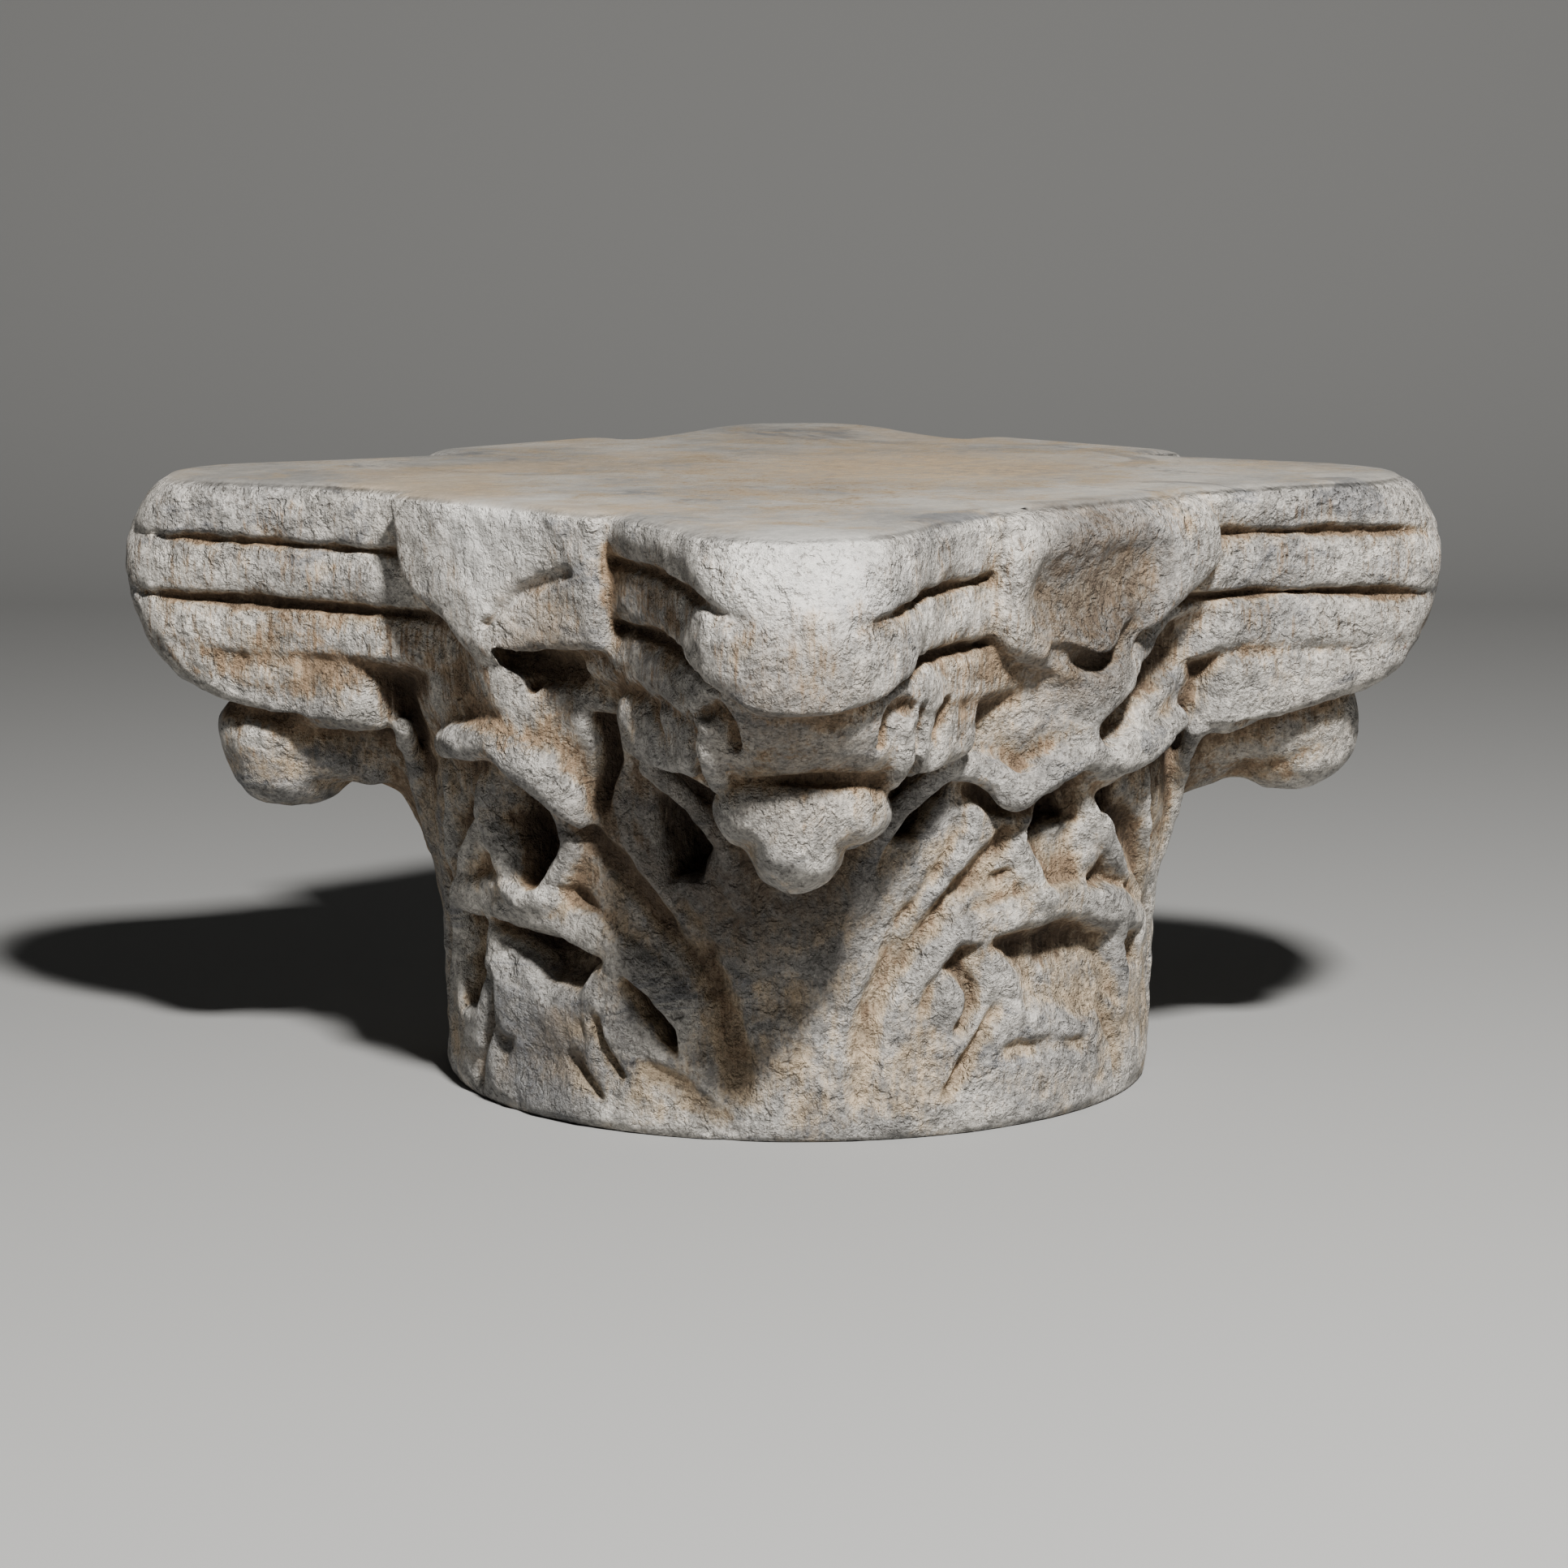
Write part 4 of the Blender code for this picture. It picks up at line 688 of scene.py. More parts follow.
def scroll_path(horn, side, path, sink):
    """A smooth curve on the mass beside a nose, through places to its left or right."""
    return smooth_curve([flank_surface(horn, side * across + SCROLL_SHIFT, up, sink)
                         for across, up in path])


def horn_face(horn, side):
    """The face of the stone that the left or right side of a horn belongs to."""
    angle = (HORNS[horn] + 45.0 * side + 180.0) % 360.0 - 180.0
    return min(FACES, key=lambda face: abs((FACES[face] - angle + 180.0) % 360.0 - 180.0))


def cut_horn(stone, horn):
    """The drilled and cut hollows of one horn, and the rims of the scrolls between them."""
    for side in (-1.0, 1.0):
        gap = smooth_curve([flank_point(horn, side, along, up, -0.001) for along, up in FINGER_GAP])
        stone.cut(bar(gap, FINGER_GAPS[horn]), 0.003)
        if horn in SCROLLED:
            rim = scroll_path(horn, side, SCROLL_RIM, 0.0)
            stone.add(Limb(rim, np.linspace(0.8, 1.2, len(rim)) * RIM_RADIUS), 0.003)
            channel = scroll_path(horn, side, SCROLL_CHANNEL, 0.003)
            stone.cut(Limb(channel, np.linspace(1.0, 1.3, len(channel)) * CHANNEL), 0.002)
            eye = scroll_path(horn, side, SCROLL_EYE, 0.002)
            crescent = np.sin(np.linspace(0.4, math.pi - 0.4, len(eye)))
            stone.cut(Limb(eye, 1.3 * CHANNEL * crescent), 0.002)
            valley = [nose_point(horn, side * NOSE_VALLEY, up, -UNDERCUT - NOSE_VALLEY_RISE)
                      for up in NOSE_VALLEY_UPS]
            stone.cut(Limb(valley, NOSE_VALLEY_RADII), 0.006)
        else:
            gap = smooth_curve([flank_point(horn, side, along + FINGER_SPREAD, up, 0.0)
                                for along, up in FINGER_GAP])
            stone.cut(bar(gap, FINGER_GAPS[horn]), 0.003)
    if horn in CREASES:
        lift = LIP_LIFTS[horn] / HEIGHT
        crease = curve(horn_point, horn, [(across, out, up + lift) for across, out, up in LIP_CREASE])
        narrowing = np.sin(np.linspace(0.3, math.pi - 0.3, len(crease)))
        stone.cut(Limb(crease, CREASES[horn] * narrowing), 0.003)


def add_leaf_lip(stone, face):
    """The curled top of the leaf in the middle of a face."""
    path = LIPS.get(face, LIPS["plain"])
    points = curve(bell_point, face, [place[:3] for place in path])
    radii = smooth_curve([(place[3], 0.0) for place in path])[:, 0]
    stone.add(Limb(points, radii), 0.007)


def carve_outline(relief, face, side):
    """The long valleys that part a leaf from the corner leaf beside it, and the flutes of that."""
    outer = ((0.19 * side, 0.82), (0.37 * side, 0.7), (0.59 * side, 0.52), (0.76 * side, 0.32),
             (0.8 * side, 0.02))
    relief.groove(face, outer, (0.06, 0.11), 1.1 * CUT_DEPTH)
    inner = ((0.46 * side, 0.82), (0.53 * side, 0.69), (0.64 * side, 0.56), (0.75 * side, 0.42))
    relief.groove(face, inner, (0.06, 0.06), 0.6 * CUT_DEPTH)
    relief.ridge(face, ((0.41 * side, 0.88), (0.45 * side, 0.74), (0.58 * side, 0.58),
                        (0.69 * side, 0.46)), (0.05, 0.05), 0.0025)
    for across in (0.89, 0.98):
        relief.groove(face, ((across * side, 0.46), (across * side, 0.02)), (0.07, 0.07),
                      0.2 * CUT_DEPTH)


def carve_front_leaf(relief, face):
    """The leaf with the deep upper eye and three drilled eyes under its arch."""
    relief.swell(face, (-1.0, 0.9), (0.3, 0.55), 0.012)
    carve_outline(relief, face, 1.0)
    carve_outline(relief, face, -1.0)
    arch = ((-0.56, 0.46), (-0.38, 0.52), (-0.1, 0.55), (0.16, 0.53), (0.38, 0.455), (0.55, 0.36),
            (0.66, 0.23))
    relief.ridge(face, arch, (0.12, 0.11), 0.0045)
    relief.ridge(face, ((0.14, 0.9), (0.22, 0.75), (0.16, 0.63), (0.08, 0.57)), (0.08, 0.1), 0.0045)
    relief.ridge(face, ((-0.12, 0.88), (-0.17, 0.77), (-0.1, 0.66), (-0.02, 0.57)), (0.08, 0.1), 0.0045)
    relief.ridge(face, ((-0.22, 0.8), (-0.35, 0.66), (-0.5, 0.5), (-0.6, 0.33)), (0.06, 0.06), 0.0025)
    relief.ridge(face, ((-0.25, 0.46), (-0.2, 0.36), (-0.14, 0.25)), (0.05, 0.16), 0.003)
    relief.ridge(face, ((0.345, 0.42), (0.31, 0.33), (0.36, 0.2)), (0.08, 0.18), 0.003)
    relief.hollow(face, ((0.55, 0.87), (0.66, 0.82), (0.73, 0.74), (0.68, 0.66), (0.57, 0.65),
                         (0.53, 0.77)), 1.6 * DRILL_DEPTH)
    relief.hollow(face, ((0.34, 1.08), (0.46, 1.08), (0.44, 0.95), (0.345, 0.8), (0.33, 0.88),
                         (0.35, 0.98)), 0.7 * DRILL_DEPTH)
    relief.hollow(face, ((0.0, 0.91), (0.12, 0.88), (0.18, 0.72), (0.09, 0.63), (0.01, 0.585),
                         (-0.09, 0.76)), 1.2 * DRILL_DEPTH, wall=0.07)
    relief.hollow(face, ((-0.27, 0.67), (-0.13, 0.68), (-0.17, 0.6), (-0.3, 0.58)), 0.5 * CUT_DEPTH)
    relief.hollow(face, ((-0.5, 0.485), (-0.27, 0.5), (-0.29, 0.33), (-0.36, 0.23), (-0.52, 0.22),
                         (-0.58, 0.34)), 1.1 * DRILL_DEPTH, wall=0.05)
    relief.hollow(face, ((-0.23, 0.485), (0.12, 0.485), (0.33, 0.435), (0.2, 0.33), (0.03, 0.335)),
                  1.3 * DRILL_DEPTH, wall=0.045, foot=0.4)
    relief.hollow(face, ((0.38, 0.41), (0.5, 0.36), (0.585, 0.28), (0.58, 0.2), (0.5, 0.225),
                         (0.42, 0.32)), 1.1 * DRILL_DEPTH)
    relief.hollow(face, ((0.13, 0.625), (0.24, 0.615), (0.37, 0.53), (0.22, 0.56)), 1.0 * CUT_DEPTH)
    relief.hollow(face, ((-0.22, 0.2), (-0.1, 0.2), (-0.21, 0.07)), CUT_DEPTH, wall=0.04)
    relief.groove(face, ((-0.235, 0.36), (-0.25, 0.24), (-0.39, 0.02)), (0.05, 0.04), CUT_DEPTH)
    relief.groove(face, ((0.29, 0.3), (0.32, 0.21), (0.39, 0.13)), (0.05, 0.035), 1.1 * CUT_DEPTH)
    relief.groove(face, ((0.15, 0.18), (0.23, 0.13), (0.31, 0.07)), (0.055, 0.04), 0.8 * CUT_DEPTH)
    relief.groove(face, ((0.45, 0.18), (0.57, 0.14), (0.67, 0.08), (0.77, 0.02)), (0.06, 0.09),
                  0.7 * CUT_DEPTH)
    relief.swell(face, (0.02, 0.13), (0.22, 0.13), -0.0035)


def carve_right_leaf(relief, face):
    """The leaf with a square panel under its arch and teardrops beside it."""
    carve_outline(relief, face, 1.0)
    carve_outline(relief, face, -1.0)
    arch = ((-0.56, 0.41), (-0.42, 0.5), (-0.28, 0.54), (-0.08, 0.555), (0.1, 0.545), (0.3, 0.5),
            (0.54, 0.42))
    relief.ridge(face, arch, (0.11, 0.12), 0.0055)
    relief.ridge(face, ((0.0, 0.91), (-0.16, 0.86), (-0.25, 0.8), (-0.27, 0.74)), (0.08, 0.07), 0.0055)
    relief.ridge(face, ((-0.27, 0.75), (-0.2, 0.65), (-0.13, 0.58)), (0.07, 0.09), 0.0035)
    relief.ridge(face, ((0.07, 0.8), (0.19, 0.69), (0.36, 0.56)), (0.06, 0.07), 0.003)
    relief.ridge(face, ((-0.34, 0.46), (-0.27, 0.36), (-0.26, 0.26)), (0.07, 0.13), 0.0035)
    relief.ridge(face, ((0.28, 0.45), (0.39, 0.34), (0.4, 0.22)), (0.05, 0.06), 0.002)
    relief.swell(face, (-0.49, 0.34), (0.08, 0.12), 0.0035)
    relief.hollow(face, ((-0.7, 0.76), (-0.67, 0.84), (-0.51, 0.93), (-0.53, 0.86), (-0.62, 0.76)),
                  1.6 * DRILL_DEPTH)
    relief.hollow(face, ((-0.44, 0.93), (-0.34, 0.89), (-0.38, 0.85)), CUT_DEPTH)
    relief.groove(face, ((-0.46, 0.89), (-0.35, 0.835), (-0.22, 0.815), (-0.14, 0.85)), (0.05, 0.06),
                  1.2 * CUT_DEPTH)
    relief.hollow(face, ((-0.04, 0.91), (0.04, 0.76), (-0.23, 0.735), (-0.15, 0.82)), 1.1 * DRILL_DEPTH)
    relief.hollow(face, ((-0.24, 0.75), (0.03, 0.77), (0.07, 0.6), (-0.11, 0.59)), 1.3 * CUT_DEPTH,
                  foot=0.4)
    relief.hollow(face, ((0.18, 0.67), (0.38, 0.55), (0.05, 0.58)), 1.2 * CUT_DEPTH)
    relief.hollow(face, ((0.07, 0.83), (0.2, 0.86), (0.24, 0.77), (0.11, 0.77)), 0.9 * DRILL_DEPTH)
    relief.hollow(face, ((0.14, 0.79), (0.28, 0.77), (0.46, 0.58), (0.36, 0.59)), 1.3 * CUT_DEPTH)
    relief.hollow(face, ((-0.46, 0.6), (-0.39, 0.67), (-0.23, 0.675), (-0.3, 0.625)), 0.9 * CUT_DEPTH)
    relief.hollow(face, ((-0.32, 0.485), (-0.2, 0.515), (0.06, 0.515), (0.28, 0.475), (0.38, 0.37),
                         (0.4, 0.25), (0.2, 0.22), (-0.19, 0.28), (-0.21, 0.38)), 2.1 * CUT_DEPTH,
                  wall=0.06, foot=0.25)
    relief.hollow(face, ((0.34, 0.47), (0.52, 0.43), (0.54, 0.33), (0.42, 0.34)), 1.4 * CUT_DEPTH)
    relief.hollow(face, ((-0.53, 0.43), (-0.46, 0.5), (-0.37, 0.48), (-0.43, 0.39)), 1.6 * CUT_DEPTH,
                  wall=0.04)
    relief.groove(face, ((-0.45, 0.42), (-0.39, 0.36), (-0.4, 0.3), (-0.45, 0.26)), (0.06, 0.04),
                  1.1 * CUT_DEPTH)
    relief.groove(face, ((-0.46, 0.43), (-0.54, 0.39), (-0.58, 0.3)), (0.05, 0.04), 0.8 * CUT_DEPTH)
    relief.groove(face, ((-0.28, 0.34), (-0.34, 0.25), (-0.42, 0.17), (-0.5, 0.08)), (0.055, 0.045),
                  1.1 * CUT_DEPTH)
    relief.groove(face, ((-0.27, 0.19), (-0.18, 0.2), (0.02, 0.19), (0.17, 0.17)), (0.06, 0.06),
                  0.6 * CUT_DEPTH)
    relief.groove(face, ((0.24, 0.27), (0.36, 0.15), (0.38, 0.02)), (0.06, 0.05), 0.8 * CUT_DEPTH)


def carve_plain_leaf(relief, face):
    """A leaf of the sides that face the wall: the same pattern, evenly set and plainer."""
    arch = ((-0.6, 0.34), (-0.42, 0.46), (-0.18, 0.53), (0.0, 0.545), (0.18, 0.53), (0.42, 0.46),
            (0.6, 0.34))
    relief.ridge(face, arch, (0.11, 0.11), 0.0045)
    for side in (-1.0, 1.0):
        carve_outline(relief, face, side)
        relief.ridge(face, ((0.1 * side, 0.9), (0.19 * side, 0.75), (0.04 * side, 0.58)), (0.08, 0.09),
                     0.0045)
        relief.ridge(face, ((0.33 * side, 0.45), (0.28 * side, 0.34), (0.32 * side, 0.22)),
                     (0.08, 0.16), 0.003)
        relief.hollow(face, ((0.4 * side, 0.41), (0.52 * side, 0.34), (0.58 * side, 0.22),
                             (0.46 * side, 0.25)), DRILL_DEPTH)
        relief.groove(face, ((0.24 * side, 0.3), (0.28 * side, 0.18), (0.34 * side, 0.05)),
                      (0.05, 0.04), CUT_DEPTH)
    relief.hollow(face, ((0.0, 0.9), (0.13, 0.74), (0.0, 0.6), (-0.13, 0.74)), 1.1 * DRILL_DEPTH,
                  wall=0.07)
    relief.hollow(face, ((-0.29, 0.45), (0.0, 0.49), (0.29, 0.45), (0.14, 0.32), (-0.14, 0.32)),
                  0.8 * DRILL_DEPTH, wall=0.08, foot=0.5)


CARVERS = {"front": carve_front_leaf, "right": carve_right_leaf,
           "back": carve_plain_leaf, "left": carve_plain_leaf}


def build_field(step):
    """The whole stone as a field on a grid of the given step."""
    stone = Stone(HORN_REACH, HEIGHT, step)
    relief = Relief(RELIEF_STEP)
    for face, carve in CARVERS.items():
        carve(relief, face)
    stone.add(Bell(relief))
    for horn in HORNS:
        add_horn(stone, horn)
    stone.add(Abacus(), 0.004)
    for face in FACES:
        add_boss(stone, face)
        add_leaf_lip(stone, face)
    for face in FACES:
        cut_boss(stone, face)
    for horn in HORNS:
        cut_horn(stone, horn)
    flat = np.maximum(-stone.z, stone.z - HEIGHT)[None, None, :]
    stone.field = np.maximum(stone.field, flat.astype(np.float32))
    return stone


def most(far):
    """All but the first cell along an axis, or all but the last."""
    return slice(1, None) if far else slice(None, -1)


def fill_doubtful(field, step):
    """Fills corners where two surfaces would touch, so that each edge keeps two faces."""
    inside = field < 0.0
    changed = True
    while changed:
        changed = False
        for first, second in ((0, 1), (0, 2), (1, 2)):
            views = []
            for shift in ((0, 0), (1, 0), (0, 1), (1, 1)):
                cut = [slice(None)] * 3
                cut[first] = most(shift[0])
                cut[second] = most(shift[1])
                views.append(inside[tuple(cut)])
            a, b, c, d = views
            crossed = (a == d) & (b == c) & (a != b)
            if crossed.any():
                changed = True
                for view in views:
                    view |= crossed
        corners = [inside[tuple(most(far) for far in corner)] for corner in CORNERS]
        total = sum(corner.astype(np.int8) for corner in corners)
        for one in range(4):
            pair = corners[one] & corners[7 - one] & (total == 2)
            gaps = ~corners[one] & ~corners[7 - one] & (total == 6)
            both = pair | gaps
            if both.any():
                changed = True
                for corner in corners:
                    corner |= both
    return np.where(inside & (field >= 0.0), -FILLED * step, field)


def fill_sealed(field, step):
    """Fills hollows inside the stone that have no way out to the air around it."""
    free = field >= 0.0
    air = np.zeros(free.shape, bool)
    air[0] = free[0]
    found = 0
    while air.sum() > found:
        found = air.sum()
        for axis in range(3):
            reached = np.ascontiguousarray(np.moveaxis(air, axis, 0))
            passable = np.ascontiguousarray(np.moveaxis(free, axis, 0))
            for row in range(1, len(reached)):
                reached[row] |= reached[row - 1] & passable[row]
            for row in range(len(reached) - 2, -1, -1):
                reached[row] |= reached[row + 1] & passable[row]
            air = np.ascontiguousarray(np.moveaxis(reached, 0, axis))
    return np.where(free & ~air, -FILLED * step, field)


def surface(stone):
    """Corners and four-sided faces of the surface where the field changes sign."""
    field = fill_doubtful(fill_sealed(stone.field, stone.step), stone.step)
    inside = field < 0.0
    cells = tuple(n - 1 for n in field.shape)
    total = np.zeros(cells + (3,), np.float32)
    hits = np.zeros(cells, np.int8)
    crossings = []
    for axis in range(3):
        low = [slice(None)] * 3
        high = [slice(None)] * 3
        low[axis] = most(0)
        high[axis] = most(1)
        crossed = inside[tuple(low)] != inside[tuple(high)]
        places = np.argwhere(crossed)
        before = field[tuple(low)][crossed]
        after = field[tuple(high)][crossed]
        point = places.astype(np.float32)
        point[:, axis] += before / (before - after)
        crossings.append((places, before < 0.0))
        first, second = [other for other in range(3) if other != axis]
        for i in (-1, 0):
            for j in (-1, 0):
                cell = places.copy()
                cell[:, first] += i
                cell[:, second] += j
                np.add.at(total, tuple(cell.T), point)
                np.add.at(hits, tuple(cell.T), 1)
    used = np.argwhere(hits > 0)
    index = np.full(cells, -1, np.int64)
    index[tuple(used.T)] = np.arange(len(used))
    points = total[tuple(used.T)] / hits[tuple(used.T)][:, None]
    starts = np.array((stone.x[0], stone.y[0], stone.z[0]))
    points = points.astype(float) * stone.step + starts
    faces = []
    for axis, (places, outward) in enumerate(crossings):
        first, second = ((1, 2), (2, 0), (0, 1))[axis]
        corners = []
        for i, j in ((-1, -1), (0, -1), (0, 0), (-1, 0)):
            cell = places.copy()
            cell[:, first] += i
            cell[:, second] += j
            corners.append(index[tuple(cell.T)])
        quads = np.stack(corners, axis=1)
        quads[~outward] = quads[~outward][:, ::-1]
        faces.append(quads)
    return points, np.concatenate(faces)


# The fine surface: the step of the grid, and the triangles that are kept of it
FINE_STEP = 0.0017
FINE_TRIANGLES = 196000

# Weathering, in metres: how far worn and broken stone stands up or back, and how wide its waves are
WEATHERING = ((0.04, 0.0015), (0.016, 0.0011), (0.0065, 0.0008))
WAVE_VALUES = 4096
WAVE_KEYS = (73856093, 19349663, 83492791)

# Hollows that the dirt and the painted shade lie in, by how wide they are, and how soon one counts as
# deep
HOLLOWS = (("fine_hollow", 0.006), ("hollow", 0.018), ("deep_hollow", 0.04))
HOLLOW_SLOPE = 0.22


def box_blur(values, reach):
    """The mean over a window of reach cells each way, along each axis in turn."""
    for axis in range(3):
        padding = [(0, 0)] * 3
        padding[axis] = (reach + 1, reach)
        sums = np.cumsum(np.pad(values, padding, mode="edge"), axis=axis, dtype=np.float64)
        upper = [slice(None)] * 3
        lower = [slice(None)] * 3
        upper[axis] = slice(2 * reach + 1, None)
        lower[axis] = slice(None, -(2 * reach + 1))
        values = ((sums[tuple(upper)] - sums[tuple(lower)]) / (2 * reach + 1)).astype(np.float32)
    return values


def blended(rest, value):
    """The mean of the values at the eight corners round each place, by how near each corner is."""
    total = 0.0
    for i, j, k in CORNERS:
        share = (np.abs(1 - i - rest[:, 0]) * np.abs(1 - j - rest[:, 1]) * np.abs(1 - k - rest[:, 2]))
        total = total + share * value(i, j, k)
    return total


def read_field(stone, values, points):
    """Values of a grid at points, between the nearest cells."""
    starts = np.array((stone.x[0], stone.y[0], stone.z[0]))
    places = (points - starts) / stone.step
    cells = np.clip(np.floor(places).astype(int), 0, np.array(values.shape) - 2)
    x, y, z = cells.T
    return blended(places - cells, lambda i, j, k: values[x + i, y + j, z + k])


def hollowness(stone, points, width):
    """How far each point lies in a hollow of about the given width: 0 flat, 1 deep, -1 an edge."""
    reach = max(1, int(round(0.5 * width / stone.step)))
    near = np.clip(stone.field, -width, width)
    around = box_blur(box_blur(near, reach), reach)
    return np.clip(-read_field(stone, around, points) / (HOLLOW_SLOPE * width), -1.0, 1.0)


def waves(points, width, seed):
    """Smooth random values from -1 to 1 whose bumps are about as wide as given."""
    table = np.random.default_rng(seed).uniform(-1.0, 1.0, WAVE_VALUES).astype(np.float32)
    places = points / width
    cells = np.floor(places).astype(np.int64)
    rest = places - cells
    x, y, z = cells.T
    a, b, c = WAVE_KEYS
    return blended(rest * rest * (3.0 - 2.0 * rest),
                   lambda i, j, k: table[((x + i) * a ^ (y + j) * b ^ (z + k) * c) % WAVE_VALUES])


def weathered(mesh, points):
    """The points moved along their normals by the wear of the stone."""
    normals = np.empty(len(points) * 3, np.float32)
    mesh.vertices.foreach_get("normal", normals)
    normals = normals.reshape(-1, 3)
    shift = np.zeros(len(points))
    for seed, (width, rise) in enumerate(WEATHERING):
        shift = shift + rise * waves(points, width, seed)
    level = np.minimum(HEIGHT - points[:, 2], points[:, 2])
    shift = shift * smooth_step(0.0002, 0.004, level)
    return points + normals * shift[:, None]


def add_item(name, data):
    item = bpy.data.objects.new(name, data)
    bpy.context.scene.collection.objects.link(item)
    return item


def carve_stone():
    """The fine mesh of the stone, with its hollows and edges kept as attributes."""
    step = FINE_STEP
    stone = build_field(step)
    points, faces = surface(stone)
    rough = bpy.data.meshes.new("rough")
    rough.from_pydata(points.tolist(), [], faces.tolist())
    points = np.clip(weathered(rough, points), CAD_BOX[0], CAD_BOX[1])
    rough.vertices.foreach_set("co", points.astype(np.float32).ravel())
    carved = add_item("carved", rough)
    thinned = carved.modifiers.new("thinned", "DECIMATE")
    thinned.ratio = min(1.0, FINE_TRIANGLES / (2.0 * len(faces)))
    mesh = bpy.data.meshes.new_from_object(carved.evaluated_get(bpy.context.evaluated_depsgraph_get()))
    bpy.data.objects.remove(carved, do_unlink=True)
    bpy.data.meshes.remove(rough)
    mesh.name = "capital"
    piece = add_item("carved_capital", mesh)
    mesh.shade_smooth()
    places = np.empty(len(mesh.vertices) * 3, np.float32)
    mesh.vertices.foreach_get("co", places)
    places = places.reshape(-1, 3).astype(float)
    for name, width in HOLLOWS:
        layer = mesh.attributes.new(name, "FLOAT", "POINT")
        layer.data.foreach_set("value", hollowness(stone, places, width).astype(np.float32))
    return piece


class Nodes:
    """Short names for the nodes of one material."""

    def __init__(self, material):
        self.tree = material.node_tree
        self.shader = self.tree.nodes["Principled BSDF"]
        self.place = self.make("TexCoord").outputs["Object"]

    def link(self, source, target):
        if isinstance(source, (int, float, tuple)):
            target.default_value = source
        else:
            self.tree.links.new(source, target)

    def make(self, kind, **inputs):
        """A node with its inputs set to values or linked to other nodes."""
        node = self.tree.nodes.new("ShaderNode" + kind)
        for name, value in inputs.items():
            self.link(value, node.inputs[name])
        return node

    def stretched(self, scale):
        return self.make("Mapping", Vector=self.place, Scale=scale).outputs["Vector"]

    def noise(self, scale, detail, rough=0.55, place=None, distort=0.0):
        return self.make("TexNoise", Vector=place or self.place, Scale=scale, Detail=detail,
                         Roughness=rough, Distortion=distort).outputs["Fac"]

    def cells(self, scale):
        return self.make("TexVoronoi", Vector=self.place, Scale=scale).outputs["Distance"]

    def attribute(self, name):
        node = self.make("Attribute")
        node.attribute_name = name
        return node.outputs["Fac"]

    def height(self):
        return self.make("SeparateXYZ", Vector=self.place).outputs["Z"]

    def ramp(self, value, low, high, start=0.0, end=1.0):
        """Goes from start to end while value goes from low to high."""
        node = self.make("MapRange", Value=value)
        node.interpolation_type = "SMOOTHSTEP"
        for name, level in zip(("From Min", "From Max", "To Min", "To Max"), (low, high, start, end)):
            node.inputs[name].default_value = level
        return node.outputs["Result"]

    def math(self, kind, one, other):
        node = self.make("Math")
        node.operation = kind
        self.link(one, node.inputs[0])
        self.link(other, node.inputs[1])
        return node.outputs[0]

    def times(self, one, other):
        return self.math("MULTIPLY", one, other)

    def total(self, start, *parts):
        """A value, and others added to it that each count by a weight."""
        for value, weight in parts:
            start = self.math("ADD", start, self.times(value, weight))
        return start

    def swing(self, start, *parts):
        """A value, and noises added to it that swing round zero, each with a size of its own."""
        return self.total(start, *((self.math("SUBTRACT", noise, 0.5), size) for noise, size in parts))

    def mix(self, share, one, other, kind="MIX"):
        node = self.make("Mix")
        node.data_type = "RGBA"
        node.blend_type = kind
        for name, value in (("Factor", share), ("A", one), ("B", other)):
            self.link(value, node.inputs[name])
        return node.outputs["Result"]

    def grey(self, value):
        """The same value for red, green and blue."""
        return self.make("CombineColor", Red=value, Green=value, Blue=value).outputs["Color"]


# The colours of the stone, and how deep its finest relief is
WHITE = (0.62, 0.585, 0.53, 1.0)
GREY = (0.37, 0.355, 0.335, 1.0)
CREAM = (0.5, 0.39, 0.265, 1.0)
OCHRE = (0.27, 0.18, 0.108, 1.0)
# Dark brown for pits and grime, also painted shade in the deep hollows
BROWN_AND_SHADE = (0.07, 0.046, 0.03, 1.0)
VEIN = (0.19, 0.195, 0.21, 1.0)
SPECK = (0.2, 0.06, 0.03, 1.0)
TOP = (0.34, 0.34, 0.335, 1.0)
TOP_STAIN = (0.27, 0.2, 0.125, 1.0)
BRUISE = (0.115, 0.12, 0.13, 1.0)
CLEAN_WHITE = (0.8, 0.785, 0.75, 1.0)
RELIEF_DEPTH = 0.0085

# Stains that the stone has in one place, and painted shade and shadow under the near nose: where, how far
# they reach, how strong and what colour
STAINS_AND_PAINTED_SHADE = (((0.199, -0.016, 0.236), 0.024, 0.056, 1.0, (0.105, 0.078, 0.055, 1.0)),
          # Painted shade on the lower part of the near nose, partly brown specks
          ((0.222, -0.222, 0.216), 0.012, 0.05, 0.62, (0.22, 0.175, 0.13, 1.0)),
          ((0.002, -0.166, 0.028), 0.012, 0.055, 0.7, BRUISE),
          # Painted shadow of the near horn on the corner leaf below it, partly brown patina
          ((0.11, -0.13, 0.125), 0.02, 0.064, 0.85, (0.07, 0.053, 0.04, 1.0)),
          # Painted shade on the upper front leaf beside the near horn, partly brown patina
          ((0.07, -0.155, 0.125), 0.015, 0.065, 0.55, (0.16, 0.125, 0.095, 1.0)),
          ((0.04, -0.196, 0.222), 0.008, 0.038, 0.6, (0.33, 0.235, 0.145, 1.0)),
          # Painted shade under the near nose, partly brown patina
          ((0.19, -0.19, 0.19), 0.01, 0.05, 0.45, (0.3, 0.215, 0.135, 1.0)),
          ((0.205, -0.055, 0.205), 0.01, 0.055, 0.45, (0.34, 0.25, 0.16, 1.0)),
          ((0.165, 0.15, 0.19), 0.01, 0.06, 0.5, (0.27, 0.19, 0.12, 1.0)),
          ((-0.03, -0.158, 0.03), 0.01, 0.055, 0.7, BRUISE),
          ((-0.02, -0.195, 0.25), 0.005, 0.03, 0.35, BRUISE))

